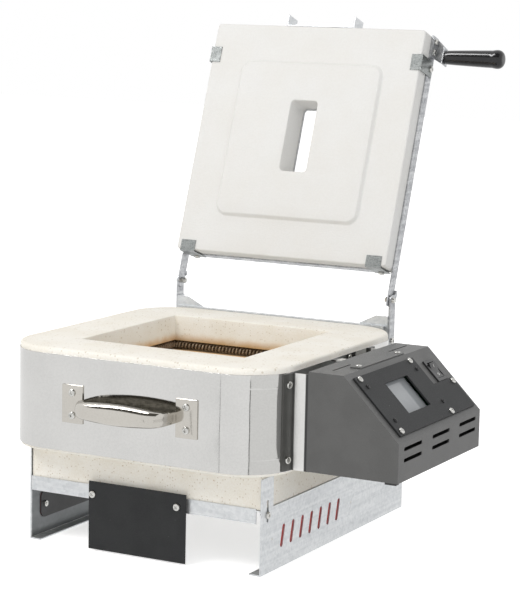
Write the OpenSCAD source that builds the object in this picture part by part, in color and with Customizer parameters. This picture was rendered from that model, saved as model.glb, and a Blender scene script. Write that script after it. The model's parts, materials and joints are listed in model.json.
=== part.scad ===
// Bead annealing kiln: a brick chamber ring with a steel jacket tilts up off a floor brick,
// and a hinged fibre lid closes it from above. A control box hangs on the right side.
// Kiln axes: x to the right, y to the rear, z up, with x = y = 0 in the middle of the chamber.

/* [Chamber] */
// Inside width and depth of the chamber
chamber_in = 203.2; // [170:0.1:230]
// Thickness of the brick wall
wall = 63.5; // [52:0.5:75]
// Height of the brick ring
ring_h = 114.3; // [95:0.1:140]
// Radius of the ring's upright corners
ring_r = 57; // [30:1:60]
// Bevel along the ring's top and bottom edges
ring_bevel = 3; // [1:0.5:6]
// Height of the steel jacket
jacket_h = 104; // [80:1:106]
// Sheet thickness of the jacket
jacket_t = 0.6; // [0.4:0.1:1.5]
// How far the jacket starts above the foot of the ring
jacket_rise = 3.5; // [1:0.5:8]

/* [Heating element] */
// Height of the element groove above the foot of the ring
element_up = 79; // [40:1:85]
// Height of the groove
groove_h = 11; // [9:0.5:14]
// Depth of the groove into the wall
groove_d = 10; // [9:0.5:14]
// Outside diameter of the coil
coil_d = 8; // [6:0.5:8.5]
// Diameter of the resistance wire
wire_d = 1.3; // [1:0.1:1.6]
// Turns drawn around the chamber
coil_turns = 88; // [60:1:92]

/* [Stand] */
// Height of the shelf that carries the floor brick
stand_h = 70; // [50:1:100]
// Distance from the chamber's middle to the front edge of the stand
stand_front = 136.4; // [120:0.1:150]
// Distance from the chamber's middle to the rear edge of the stand
stand_rear = 218.4; // [200:0.1:250]
// Sheet thickness of the stand
sheet = 1.5; // [1:0.1:2]
// Width of the feet turned inwards along the floor
foot_w = 14; // [10:1:25]
// Width of the shelf flanges under the floor brick
shelf_w = 10; // [6:1:20]
// Height of the front tabs above the shelf
tab_up = 33.4; // [20:0.1:36]
// Thickness of the floor brick
floor_t = 38.1; // [25:0.1:50]
// Height of the front rail
rail_h = 16; // [12:0.5:25]

/* [Notice plate] */
// Width of the bare plate on the front rail
notice_w = 121; // [80:1:160]
// Height of the bare plate
notice_h = 75; // [50:1:76]
// Gap between the rail and the plate
notice_gap = 3.4; // [2:0.2:8]

/* [Hinges] */
// Height of the lid pivot above the underside of the closed lid
lid_drop = 28.1; // [24:0.1:34]
// Distance from the chamber's middle to both pivot lines
pivot_back = 180; // [178:0.5:190]
// Height of the lower pivot above the floor
tilt_z = 52; // [40:1:56]
// Angle of the lid past upright when it stands open
lid_lean = 19.45; // [10:0.05:25]
// Width of the hinge posts and of the lid arms
bar_w = 14; // [12:0.5:16]
// Thickness of the hinge posts
post_t = 2; // [1.5:0.1:2.5]
// Diameter of the lower bolts
bolt_d = 6; // [5:0.5:6]
// Diameter of the lid's pivot bolts
pivot_d = 4; // [3:0.5:5]

/* [Lid] */
// Width of the fibre slab
slab_w = 277; // [240:0.5:277]
// Length of the slab from rear to front
slab_l = 284.5; // [250:0.5:300]
// Thickness of the slab
slab_t = 31.75; // [25:0.25:32]
// Distance from the pivot to the rear edge of the slab
slab_off = 33.3; // [30:0.1:36]
// Width and length of the raised pad
pad_w = 190; // [140:1:196]
// Height of the raised pad
pad_h = 4.5; // [2:0.5:12]
// Width of the pad's sloping border
pad_slope = 8; // [2:0.5:14]
// Width of the slot through the lid
slot_w = 35; // [20:1:50]
// Length of the slot through the lid
slot_l = 87; // [50:1:110]
// Radius of the slot's corners
slot_r = 5; // [1:0.5:8]

/* [Lid grip] */
// Length of the grip
grip_l = 73; // [60:1:100]
// Diameter of the grip at its root
grip_d1 = 16.5; // [12:0.5:20]
// Diameter of the grip at its end
grip_d2 = 22; // [18:0.5:26]

/* [Lift handle] */
// Clear width between the handle's two feet
bow_w = 114; // [90:1:140]
// How far the bow stands out from the jacket
bow_out = 34; // [24:1:40]
// Height of the bow at its middle
bow_h = 23.2; // [18:0.2:32]
// Width of each foot
foot_plate_w = 26; // [20:1:32]
// Height of each foot
foot_plate_h = 41.5; // [36:0.5:50]
// Height of the handle's middle above the foot of the ring
handle_up = 56; // [40:1:65]

/* [Control box] */
// Gap between the jacket and the box
box_gap = 21.3; // [15:0.1:30]
// Length of the box from front to rear
box_l = 213.4; // [200:0.2:240]
// Distance from the chamber's middle to the front face of the box
box_front = 121.7; // [115:0.1:130]
// Depth of the box away from the jacket
box_w = 103.5; // [95:0.5:130]
// Depth of the flat top of the box
box_top_w = 39.6; // [34:0.1:42]
// Height of the box
box_h = 104.5; // [100:0.5:108]
// Height of the upright outer face
box_face_h = 41; // [36:0.5:44]
// Height of the box's foot above the foot of the ring
box_up = 6.5; // [2:0.5:8]
// Sheet thickness of the box
box_sheet = 1.2; // [1:0.1:1.6]
// Thickness of the control panel
panel_t = 2; // [1.5:0.1:3]

/* [Hidden] */
$fn = 48;

// Gaps and small common sizes
body_gap = 0.3;
seat_gap = 0.3;
lid_gap = 1.2;
run_gap = 0.05;
screw_r = 2.2;
head_r = 4;
head_h = 2.4;
eps = 0.01;

// Chamber places
ring_w = chamber_in + 2 * wall;
half = ring_w / 2;
jacket_half = half + jacket_t;
ring_z = stand_h + floor_t + seat_gap;
ring_top = ring_z + ring_h;
jacket_z = ring_z + jacket_rise;
element_z = ring_z + element_up;

// Lid places, measured from the pivot: s runs to the lid's front edge, n to its underside
pivot_y = pivot_back;
pivot_z = ring_top + lid_gap + lid_drop;
lid_open = 90 + lid_lean;
arm_t = sheet;
arm_x = slab_w / 2 + 0.1;
post_x = arm_x + arm_t + body_gap;
panel_x = post_x + post_t + body_gap;
slab_back = lid_drop - slab_t;
arm_low = slab_back - arm_t;
slab_end = slab_off + slab_l;
pad_s = slab_off + slab_l / 2 + 1;
slot_s = pad_s + 4;
pad_r = 12;
grip_s = slab_end - 24.5;
grip_n = arm_low + bar_w / 2;
grip_x = arm_x + arm_t + 17;

// Control box places
box_x0 = jacket_half + box_gap;
box_x1 = box_x0 + box_top_w;
box_x2 = box_x0 + box_w;
box_z0 = ring_z + box_up;
box_z1 = box_z0 + box_h;
box_zc = box_z0 + box_face_h;
box_y0 = -box_front;
box_y1 = box_y0 + box_l;
slope_drop = box_z1 - box_zc;
slope_a = atan2(slope_drop, box_x2 - box_x1);
slope_len = slope_drop / sin(slope_a);

// Control panel, with d down the slope
panel_d0 = 7;
panel_d1 = slope_len - 6.3;
panel_y0 = box_y0 + 11.7;
panel_y1 = box_y1 - 7.2;
notch_d = 44;
notch_y = panel_y0 + 145;
window_d = 24;
window_l = 40;
window_y = panel_y0 + 50;
window_w = 55.5;
screen_drop = 4;
board_drop = 10;
panel_screw_at = [[panel_d0 + 3.8, panel_y0 + 9], [panel_d0 + 3, notch_y - 11],
    [panel_d1 - 5, panel_y0 + 8.3], [panel_d1 - 4, notch_y - 9.4], [notch_d + 4.7, panel_y1 - 5.6]];
board_screw_at = [for (d = [21, 65.7], y = [panel_y0 + 13, notch_y - 10]) [d, y]];
switch_d = 29.5;
switch_y = box_y1 - 29;
switch_l = 28;
switch_w = 24;
rocker_tilt = 8;
rocker_drop = 1.5;

// Middle of the whole kiln's footprint, which becomes the origin
handle_y = -jacket_half - bow_out;
arm_rear = pivot_y + slab_end * sin(lid_lean) - arm_low * cos(lid_lean);
grip_rear = pivot_y + grip_s * sin(lid_lean) - grip_n * cos(lid_lean) + grip_d2 / 2;
mid_x = (box_x2 - jacket_half) / 2;
mid_y = (handle_y + max(arm_rear, grip_rear)) / 2;

galvanised = "#b9bfc2";
steel = "#d8d8d6";
brick = "#efe6d2";
fibre = "#ecebe6";
charcoal = "#55565a";
black = "#232426";

module in_place() {
    translate([-mid_x, -mid_y, 0]) children();
}

// Children are drawn in the closed lid, with s along -y and n along -z from the pivot
module on_lid() {
    in_place() translate([0, pivot_y, pivot_z]) rotate([-lid_open, 0, 0]) children();
}

// Children are drawn flat, with x down the slope, y to the rear and z out of the slope
module on_slope() {
    in_place() translate([box_x1, 0, box_z1]) rotate([0, slope_a, 0]) children();
}

// A solid box between two corners
module block(low, high) {
    translate(low) cube(high - low);
}

module rounded(w, d, r) {
    hull() {
        for (sx = [-1, 1], sy = [-1, 1]) translate([sx * (w / 2 - r), sy * (d / 2 - r)]) circle(r);
    }
}

// A rectangle with round corners made of exact arcs
module exact_rounded(w, d, r) {
    union() {
        square([w - 2 * r, d], center = true);
        square([w, d - 2 * r], center = true);
        for (sx = [-1, 1], sy = [-1, 1]) translate([sx * (w / 2 - r), sy * (d / 2 - r)]) circle(r);
    }
}

// A pan head screw along -z with its seat at z = 0
module pan_screw(r = screw_r, hr = head_r, hh = head_h, l = 8) {
    difference() {
        cylinder(r1 = hr, r2 = hr * 0.72, h = hh);
        for (a = [0, 90]) rotate(a) translate([-hr * 0.5, -0.45, hh - 0.9]) cube([hr, 0.9, 2]);
    }
    translate([0, 0, -l]) cylinder(r = r, h = l + eps);
}

module hex_nut(r = 4.6, h = 4.5, bore = 3) {
    difference() {
        cylinder(r = r, h = h, $fn = 6);
        translate([0, 0, -1]) cylinder(r = bore, h = h + 2);
    }
}

// Profile in the yz plane, extruded along +x from x0
module side_profile(x0, t) {
    translate([x0, 0, 0]) rotate([90, 0, 90]) linear_extrude(t) children();
}

module slot_2d(w, l) {
    union() {
        square([w, l - w], center = true);
        for (s = [-1, 1]) translate([0, s * (l - w) / 2]) circle(w / 2);
    }
}

// Stand
slot_y = -stand_front + 13.4;
shelf_end = 124;
shelf_start = -stand_front + 28;
inset_y = [-stand_front + 24.6, 78];
inset_z = stand_h / 2;
inset_y0 = -stand_front + 18;
inset_y1 = 85;
rail_screw_z = stand_h - 7;
rear_rail_y = 150;
rail_y1 = -stand_front + 26;

module side_panel() {
    side_profile(panel_x, sheet) difference() {
        polygon([[-stand_front, 0], [stand_rear, 0], [stand_rear, stand_h - 16],
            [stand_rear - 16, stand_h], [rail_y1, stand_h], [rail_y1, stand_h + tab_up],
            [-stand_front, stand_h + tab_up]]);
        translate([slot_y, stand_h - 2.5]) slot_2d(4.6, 24);
        translate([rear_rail_y - 12, stand_h - 8]) circle(screw_r + 0.1);
        translate([pivot_y, tilt_z]) circle(bolt_d / 2 + 0.1);
        for (y = inset_y) translate([y, inset_z]) circle(1.6);
        for (i = [0:6]) translate([-88 + 22 * i, inset_z - 1]) rotate(-14) slot_2d(6, 25);
    }
    block([panel_x - foot_w + sheet, -stand_front, 0], [panel_x + eps, stand_rear, sheet]);
    block([panel_x - shelf_w, shelf_start, stand_h - sheet], [panel_x + eps, shelf_end, stand_h]);
}

module side_panel_right() {
    color(galvanised) in_place() side_panel();
}

module side_panel_left() {
    color(galvanised) in_place() mirror([1, 0, 0]) side_panel();
}

rail_half = panel_x - body_gap;

module rail_end(y0, y1, yh, zh) {
    for (m = [0, 1]) mirror([m, 0, 0]) difference() {
        block([rail_half - sheet, y0, stand_h - rail_h], [rail_half, y1, stand_h]);
        translate([rail_half - 5, yh, zh]) rotate([0, 90, 0]) cylinder(r = screw_r, h = 10);
    }
}

module front_rail() {
    color(galvanised) in_place() difference() {
        union() {
            block([-rail_half, -stand_front, stand_h + 1.4 - rail_h],
                [rail_half - 5, -stand_front + sheet, stand_h + 1.4]);
            block([-rail_half, -stand_front, stand_h - sheet], [rail_half, rail_y1 - 1, stand_h]);
            rail_end(-stand_front + 4, rail_y1 - 1, slot_y, rail_screw_z);
        }
        for (x = notice_x) translate([x, -stand_front - 1, notice_screw_z]) rotate([-90, 0, 0])
            cylinder(r = screw_r, h = 4);
    }
}

module rear_rail() {
    color(galvanised) in_place() union() {
        block([-rail_half, rear_rail_y - sheet, stand_h - rail_h], [rail_half, rear_rail_y, stand_h]);
        block([-rail_half, rear_rail_y - 24, stand_h - sheet], [rail_half, rear_rail_y, stand_h]);
        rail_end(rear_rail_y - 24, rear_rail_y, rear_rail_y - 12, stand_h - 8);
    }
}

module floor_brick() {
    color(brick) in_place() block([-rail_half, -stand_front + sheet + seat_gap, stand_h],
        [rail_half, half, stand_h + floor_t]);
}

module panel_insets() {
    color("#a3262a") in_place() for (m = [0, 1]) mirror([m, 0, 0]) side_profile(panel_x - 1.2, 1.2)
        difference() {
            translate([(inset_y0 + inset_y1) / 2, inset_z])
                exact_rounded(inset_y1 - inset_y0, 31, 8);
            for (y = inset_y) translate([y, inset_z]) circle(1.6);
        }
}

module inset_nuts() {
    color(steel) in_place() for (m = [0, 1], y = inset_y) mirror([m, 0, 0])
        translate([panel_x - 1.2, y, inset_z]) rotate([0, -90, 0]) union() {
            hex_nut(3.6, 2.8, 1);
            translate([0, 0, -2.7]) cylinder(r = 1.5, h = 6.5);
        }
}

notice_mid = -4.5;
notice_x = [notice_mid - 55.5, notice_mid + 49.5];
notice_screw_z = stand_h - 8;
notice_y = -stand_front - notice_gap;
notice_t = 1.2;

module notice_plate() {
    color(black) in_place() translate([0, notice_y, 0]) rotate([90, 0, 0]) linear_extrude(notice_t)
        difference() {
            translate([notice_mid - notice_w / 2, 1.5]) square([notice_w, notice_h]);
            for (x = notice_x) translate([x, notice_screw_z]) circle(screw_r + 0.1);
        }
}

module notice_spacers() {
    color(black) in_place() for (x = notice_x) translate([x, -stand_front, notice_screw_z])
        rotate([90, 0, 0]) difference() {
            cylinder(r = 4.2, h = notice_gap);
            translate([0, 0, -1]) cylinder(r = screw_r + 0.1, h = notice_gap + 2);
        }
}

module notice_screws() {
    color(steel) in_place() for (x = notice_x)
        translate([x, notice_y - notice_t, notice_screw_z]) rotate([90, 0, 0])
            pan_screw(l = notice_gap + notice_t + sheet + 4);
}

module rail_screws() {
    color(steel) in_place() for (m = [0, 1]) mirror([m, 0, 0]) {
        for (p = [[slot_y, rail_screw_z], [rear_rail_y - 12, stand_h - 8]])
            translate([panel_x + sheet, p[0], p[1]]) rotate([0, 90, 0]) pan_screw();
    }
}

// The bolts stand in the stand's panels, and the posts turn on them
module tilt_bolts() {
    color(steel) in_place() for (m = [0, 1]) mirror([m, 0, 0])
        translate([panel_x + sheet, pivot_y, tilt_z]) rotate([0, 90, 0]) union() {
            cylinder(r = 5, h = 3.4, $fn = 6);
            translate([0, 0, -13]) cylinder(r = bolt_d / 2, h = 13 + eps);
            translate([0, 0, -sheet - post_t - 2 * body_gap - 4.5]) hex_nut(5, 4.5, 2);
        }
}

// Chamber
tail_z = element_z;
tail_y = [-14, 6];
tube_r = 3.5;
probe_y = 32;
probe_z = ring_z + 45;
probe_in = 12;
coil_line = chamber_in / 2 + groove_d / 2 - 0.5;
tail_x = half + jacket_t + box_gap / 2;

module ring_outer() {
    hull() {
        linear_extrude(eps) rounded(ring_w - 2 * ring_bevel, ring_w - 2 * ring_bevel,
            ring_r - ring_bevel, $fn = 64);
        translate([0, 0, ring_bevel]) linear_extrude(ring_h - 2 * ring_bevel)
            rounded(ring_w, ring_w, ring_r, $fn = 64);
        translate([0, 0, ring_h - eps]) linear_extrude(eps)
            rounded(ring_w - 2 * ring_bevel, ring_w - 2 * ring_bevel, ring_r - ring_bevel, $fn = 64);
    }
}

module brick_ring() {
    color(brick) in_place() difference() {
        translate([0, 0, ring_z]) ring_outer();
        translate([0, 0, ring_z + ring_h / 2])
            cube([chamber_in, chamber_in, ring_h + 2], center = true);
        translate([0, 0, element_z])
            cube([chamber_in + 2 * groove_d, chamber_in + 2 * groove_d, groove_h], center = true);
        for (y = tail_y) translate([chamber_in / 2, y, tail_z]) rotate([0, 90, 0])
            cylinder(r = tube_r + 0.1, h = wall + 1);
        translate([chamber_in / 2 - 1, probe_y, probe_z]) rotate([0, 90, 0])
            cylinder(r = tube_r + 0.1, h = wall + 2);
        translate([-chamber_in / 2 + 18.5, chamber_in / 2 - 1, ring_top - 7]) rotate([-90, 0, 0])
            cylinder(r = 1.6, h = 9);
    }
}

// The coil runs once round a square with round corners, then its two ends leave to the right
loop_r = 8;
loop_side = 2 * (coil_line - loop_r);
loop_part = loop_side + loop_r * PI / 2;
loop_start = loop_side / 2 + tail_y[1];
loop_l = 4 * loop_part - (tail_y[1] - tail_y[0]);
turn_steps = 8;
wire_sides = 6;
tail_steps = 4;

function corner_angle(t) = t < loop_side ? 0 : (t - loop_side) / loop_r * 180 / PI;
function side_point(t) = let (a = corner_angle(t))
    t < loop_side ? [coil_line, t - loop_side / 2]
    : [coil_line - loop_r + loop_r * cos(a), loop_side / 2 + loop_r * sin(a)];
function turned(p, a) = [p[0] * cos(a) - p[1] * sin(a), p[0] * sin(a) + p[1] * cos(a)];
function loop_k(s) = floor(s / loop_part);
function loop_point(s) = turned(side_point(s - loop_k(s) * loop_part), 90 * loop_k(s));
function loop_out(s) = turned([1, 0], corner_angle(s - loop_k(s) * loop_part) + 90 * loop_k(s));
function coil_phase(u) = 90 + 360 * coil_turns * u;
function coil_grow(u) = min(1, 2 * coil_turns * u, 2 * coil_turns * (1 - u));
function coil_point(u) = let (
        s = loop_start + u * loop_l,
        p = loop_point(s),
        o = loop_out(s),
        r = (coil_d - wire_d) / 2 * coil_grow(u))
    [p[0] + o[0] * r * cos(coil_phase(u)), p[1] + o[1] * r * cos(coil_phase(u)),
        element_z + r * sin(coil_phase(u))];
function coil_side(u) = let (o = loop_out(loop_start + u * loop_l))
    [o[0] * cos(coil_phase(u)), o[1] * cos(coil_phase(u)), sin(coil_phase(u))];

coil_n = coil_turns * turn_steps;
coil_mid = [for (i = [0:coil_n]) coil_point(i / coil_n)];
tail_step = (tail_x - coil_line) / tail_steps;
wire_points = concat(
    [for (i = [tail_steps:-1:1]) [coil_line + i * tail_step, tail_y[1], element_z]],
    coil_mid,
    [for (i = [1:tail_steps]) [coil_line + i * tail_step, tail_y[0], element_z]]);
wire_up = concat(
    [for (i = [1:tail_steps]) [0, 0, 1]],
    [for (i = [0:coil_n]) coil_side(i / coil_n)],
    [for (i = [1:tail_steps]) [0, 0, 1]]);
wire_n = len(wire_points);

function unit(v) = v / norm(v);
function wire_dir(i) = unit(wire_points[min(i + 1, wire_n - 1)] - wire_points[max(i - 1, 0)]);
function wire_ring(i) = let (
        d = wire_dir(i),
        a = unit(wire_up[i] - (wire_up[i] * d) * d),
        b = cross(d, a))
    [for (k = [0:wire_sides - 1]) wire_points[i]
        + wire_d / 2 * (cos(360 * k / wire_sides) * a + sin(360 * k / wire_sides) * b)];

module tube_mesh(rings, sides) {
    n = len(rings);
    points = [for (ring = rings, p = ring) p];
    walls = [for (i = [0:n - 2], k = [0:sides - 1])
        let (a = i * sides + k, b = i * sides + (k + 1) % sides)
        each [[a, a + sides, b], [b, a + sides, b + sides]]];
    caps = [for (k = [1:sides - 2]) each [[0, k, k + 1],
        [(n - 1) * sides, (n - 1) * sides + k + 1, (n - 1) * sides + k]]];
    polyhedron(points, concat(walls, caps));
}

near_turns = [for (i = [0:coil_n], j = [i + turn_steps / 2:min(i + 2 * turn_steps, coil_n)])
    norm(coil_mid[i] - coil_mid[j])];
echo(str("least gap between turns of the coil: ", min(near_turns) - wire_d, " mm"));

module heating_element() {
    color("#5b4636") in_place() tube_mesh([for (i = [0:wire_n - 1]) wire_ring(i)], wire_sides);
}

module element_tubes() {
    color("#f4efe4") in_place() for (y = tail_y) translate([chamber_in / 2 + groove_d + 1, y, tail_z])
        rotate([0, 90, 0]) difference() {
            cylinder(r = tube_r, h = wall - groove_d + jacket_t + box_gap + 3);
            translate([0, 0, -1]) cylinder(r = wire_d / 2 + 0.4, h = wall + box_gap + 5);
        }
}

module thermocouple() {
    color("#e8e2d4") in_place() translate([chamber_in / 2 - probe_in, probe_y, probe_z])
        rotate([0, 90, 0]) cylinder(r = tube_r - 0.3, h = probe_in + wall + jacket_t + box_gap + 3);
}

module steel_jacket() {
    color(steel) in_place() difference() {
        translate([0, 0, jacket_z]) linear_extrude(jacket_h) difference() {
            exact_rounded(ring_w + 2 * jacket_t, ring_w + 2 * jacket_t, ring_r + jacket_t);
            exact_rounded(ring_w, ring_w, ring_r);
        }
        for (y = tail_y) translate([half - 4, y, tail_z]) rotate([0, 90, 0])
            cylinder(r = tube_r + 0.1, h = 8);
        translate([half - 4, probe_y, probe_z]) rotate([0, 90, 0]) cylinder(r = tube_r + 0.1, h = 8);
    }
}

// The bow is a pressed half oval with steep ends, and is open towards the jacket
handle_z = ring_z + handle_up;
foot_t = 1.8;
bow_steps = 28;
bow_arc = 9;
bow_sheet = 1.5;
screw_pitch = foot_plate_h - 17;

function bow_depth(u) = 3 + 5 * (1 - pow(u, 6));
function bow_half(u) = (0.64 + 0.36 * cos(90 * u)) * (1 - 0.25 * pow(u, 12)) * bow_h / 2;
function bow_back(u) = (bow_out - 8) * (1 - pow(u, 12));
function bow_ring(i) = let (
        t = -1 + 2 * i / bow_steps,
        u = t * (2 - abs(t)),
        x = u * (bow_w / 2 + 1),
        y0 = -jacket_half - bow_back(u))
    concat(
        [for (k = [0:bow_arc - 1]) let (a = -90 + 180 * k / (bow_arc - 1))
            [x, y0 - bow_depth(u) * cos(a), handle_z + bow_half(u) * sin(a)]],
        [for (k = [bow_arc - 1:-1:0]) let (a = -90 + 180 * k / (bow_arc - 1))
            [x - u * bow_sheet, y0 - (bow_depth(u) - bow_sheet) * cos(a),
                handle_z + (bow_half(u) - bow_sheet) * sin(a)]]);

module bow() {
    sides = 2 * bow_arc;
    n = bow_steps + 1;
    points = [for (i = [0:bow_steps], p = bow_ring(i)) p];
    walls = [for (i = [0:n - 2], k = [0:sides - 1])
        let (a = i * sides + k, b = i * sides + (k + 1) % sides)
        each [[a, b, a + sides], [b, b + sides, a + sides]]];
    caps = [for (k = [0:bow_arc - 2]) let (m = sides - 1 - k, e = (n - 1) * sides)
        each [[k, m, k + 1], [m, m - 1, k + 1], [e + k, e + k + 1, e + m], [e + m, e + k + 1, e + m - 1]]];
    polyhedron(points, concat(walls, caps));
}

handle_screw_x = bow_w / 2 + foot_plate_w / 2;

module lift_handle() {
    color(steel) in_place() union() {
        for (s = [-1, 1]) difference() {
            translate([s * handle_screw_x, -jacket_half, handle_z]) rotate([90, 0, 0])
                linear_extrude(foot_t) square([foot_plate_w, foot_plate_h], center = true);
            for (t = [-1, 1]) translate([s * handle_screw_x, -jacket_half + 1,
                handle_z + t * screw_pitch / 2]) rotate([90, 0, 0]) cylinder(r = screw_r, h = 4);
        }
        bow();
    }
}

module handle_screws() {
    color(steel) in_place() for (s = [-1, 1], t = [-1, 1])
        translate([s * handle_screw_x, -jacket_half - foot_t, handle_z + t * screw_pitch / 2])
            rotate([90, 0, 0]) pan_screw(l = foot_t);
}

// Rear plate with raised ears, seated on bosses pressed against the jacket
plate_y = pivot_y - bar_w / 2;
plate_z0 = ring_z + 40;
ear_z = ring_top + 11.5;
ear_flat = 15;
ear_w = 37;
boss_x = 110;
boss_z = [plate_z0 + 12, ring_top - 22];
flange_y = plate_y + bar_w;
flange_screw_y = pivot_y;
flange_screw_z = [plate_z0 + 14, ring_top - 18];

module rear_plate() {
    color(galvanised) in_place() difference() {
        union() {
            translate([0, plate_y, 0]) rotate([90, 0, 0]) linear_extrude(sheet) polygon([
                [-post_x, plate_z0], [post_x, plate_z0], [post_x, ear_z], [post_x - ear_flat, ear_z],
                [post_x - ear_w, ring_top + 0.5], [ear_w - post_x, ring_top + 0.5],
                [ear_flat - post_x, ear_z], [-post_x, ear_z]]);
            block([-post_x + 3, jacket_half + body_gap, ring_top - 1],
                [post_x - 3, plate_y - eps, ring_top + 0.5]);
            block([-post_x + 3, jacket_half + body_gap, ring_top - 4],
                [post_x - 3, jacket_half + body_gap + 1, ring_top]);
            for (m = [0, 1]) mirror([m, 0, 0])
                block([post_x - sheet, plate_y - sheet, plate_z0], [post_x, flange_y, ear_z]);
            for (x = [-boss_x, boss_x], z = boss_z) translate([x, jacket_half, z])
                rotate([-90, 0, 0]) cylinder(r = 5, h = plate_y - jacket_half - eps);
        }
        for (m = [0, 1], z = flange_screw_z) mirror([m, 0, 0])
            translate([post_x - 5, flange_screw_y, z]) rotate([0, 90, 0]) cylinder(r = screw_r, h = 10);
        for (x = [-boss_x, boss_x], z = boss_z) translate([x, jacket_half - 1, z])
            rotate([-90, 0, 0]) cylinder(r = screw_r, h = 20);
    }
}

// The open lid's arms lean on the bent stop tab at the top of each post
tab_z0 = pivot_z + 4.5;
tab_z1 = pivot_z + 10;
post_top = pivot_z + 6;
tab_s = (tab_z1 - pivot_z - arm_low * sin(lid_lean)) / cos(lid_lean);
tab_y = pivot_y + tab_s * sin(lid_lean) - arm_low * cos(lid_lean) + body_gap;
post_foot = tilt_z - 10;

module hinge_post() {
    side_profile(post_x, post_t) difference() {
        polygon([[pivot_y - bar_w / 2, post_foot], [pivot_y + bar_w / 2, post_foot],
            [pivot_y + bar_w / 2, pivot_z - 4], [tab_y + post_t, tab_z0], [tab_y + post_t, tab_z1],
            [tab_y, tab_z1], [pivot_y + bar_w / 2 - 1, post_top], [pivot_y - bar_w / 2 + 3, post_top],
            [pivot_y - bar_w / 2, post_top - 3]]);
        translate([pivot_y, tilt_z]) circle(bolt_d / 2 + run_gap);
        translate([pivot_y, pivot_z]) circle(pivot_d / 2 + 0.1);
        for (z = flange_screw_z) translate([flange_screw_y, z]) circle(screw_r);
    }
    block([arm_x, tab_y, tab_z0], [post_x + eps, tab_y + post_t, tab_z1]);
}

module hinge_post_right() {
    color(galvanised) in_place() hinge_post();
}

module hinge_post_left() {
    color(galvanised) in_place() mirror([1, 0, 0]) hinge_post();
}

module post_screws() {
    color(steel) in_place() union() {
        for (m = [0, 1], z = flange_screw_z) mirror([m, 0, 0])
            translate([post_x + post_t, flange_screw_y, z]) rotate([0, 90, 0]) pan_screw(l = 7);
        for (x = [-boss_x, boss_x], z = boss_z) translate([x, plate_y, z])
            rotate([-90, 0, 0]) pan_screw(l = plate_y - jacket_half);
    }
}

// The bolts stand in the posts, and the lid's arms turn on them
pivot_head = 2.6;
pivot_nut = 4.5;
pivot_l = post_t + arm_t + 2 * body_gap + pivot_nut + 1;

module lid_pivot_bolts() {
    color(steel) in_place() for (m = [0, 1]) mirror([m, 0, 0])
        translate([post_x + post_t, pivot_y, pivot_z]) rotate([0, 90, 0]) union() {
            cylinder(r1 = pivot_d * 0.95, r2 = pivot_d * 0.75, h = pivot_head);
            translate([0, 0, -pivot_l]) cylinder(r = pivot_d / 2, h = pivot_l + eps);
            translate([0, 0, -post_t - arm_t - 2 * body_gap - pivot_nut])
                hex_nut(pivot_d * 0.88, pivot_nut, pivot_d * 0.3);
        }
}

// Z brackets between jacket and box: the front one's flange follows the ring's round corner
bend = half - ring_r;
bracket_r = ring_r + jacket_t;
bracket_a0 = 5.5;
bracket_a1 = 21.5;
screw_turn = 14;
web_y = bend + bracket_r * sin(bracket_a0 + 1.5);
bracket_h = jacket_h - 2;
bracket_z = jacket_z + 1;
bracket_screw_z = [bracket_z + 11.5, bracket_z + bracket_h - 11.5];
bracket_flange = 13;
rear_web_y = box_y1 - 24;
box_flange_y = [-web_y + bracket_flange - 5.5, rear_web_y - bracket_flange + 5.5];
tie_y = -20;
tie_z = jacket_z + jacket_h - 3;

module box_brackets() {
    color(galvanised) in_place() difference() {
        union() {
            translate([0, 0, bracket_z]) linear_extrude(bracket_h) union() {
                translate([bend, -bend]) difference() {
                    intersection() {
                        circle(bracket_r + sheet, $fn = 96);
                        polygon([[0, 0],
                            [2 * bracket_r * cos(bracket_a0), -2 * bracket_r * sin(bracket_a0)],
                            [2 * bracket_r * cos(bracket_a1), -2 * bracket_r * sin(bracket_a1)]]);
                    }
                    circle(bracket_r, $fn = 96);
                }
                translate([jacket_half + 0.2, -web_y]) square([box_gap - 0.2, sheet]);
                translate([box_x0 - sheet, -web_y]) square([sheet, bracket_flange]);
                translate([jacket_half, rear_web_y]) square([sheet, bracket_flange]);
                translate([jacket_half, rear_web_y]) square([box_gap, sheet]);
                translate([box_x0 - sheet, rear_web_y + sheet - bracket_flange])
                    square([sheet, bracket_flange]);
            }
            block([jacket_half, tie_y, tie_z], [box_x0, tie_y + 14, tie_z + sheet]);
        }
        for (z = bracket_screw_z) {
            translate([bend, -bend, z]) rotate([0, 90, -screw_turn]) cylinder(r = screw_r, h = 80);
            translate([jacket_half - 1, rear_web_y + 8, z]) rotate([0, 90, 0])
                cylinder(r = screw_r, h = 4);
            for (y = box_flange_y) translate([box_x0 - 5, y, z]) rotate([0, 90, 0])
                cylinder(r = screw_r, h = 8);
        }
    }
}

module bracket_screws() {
    color(steel) in_place() for (z = bracket_screw_z) {
        translate([bend, -bend, z]) rotate([0, 90, -screw_turn]) translate([0, 0, bracket_r + sheet])
            pan_screw(l = sheet);
        translate([jacket_half + sheet, rear_web_y + 8, z]) rotate([0, 90, 0]) pan_screw(l = sheet);
        for (y = box_flange_y) translate([box_x0 - sheet, y, z]) rotate([0, -90, 0])
            pan_screw(l = sheet + 2 * box_sheet + 2);
    }
}

// Control box
lip = 10;
plate_x = box_x0 + box_sheet;
plate_fit = 0.3;
box_screw_y = [box_y0 + 36, box_y1 - 12];
box_screw_z = [box_z0 + 6, box_z1 - 6];
vent_y = [for (k = [0:2]) box_y0 + 36 + 71.5 * k];
vent_z = [box_z0 + 21.6, box_z0 + 33.3];
vent_l = 45;
vent_h = 4;
gland_x = box_x0 + 55;
gland_z = box_z0 + 22;
cover_x = box_x1 - 13.5;
cover_y = box_y0 + 44;
cover_l = 108;
cover_screw_y = [cover_y + 7, cover_y + cover_l - 4.5];

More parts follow.
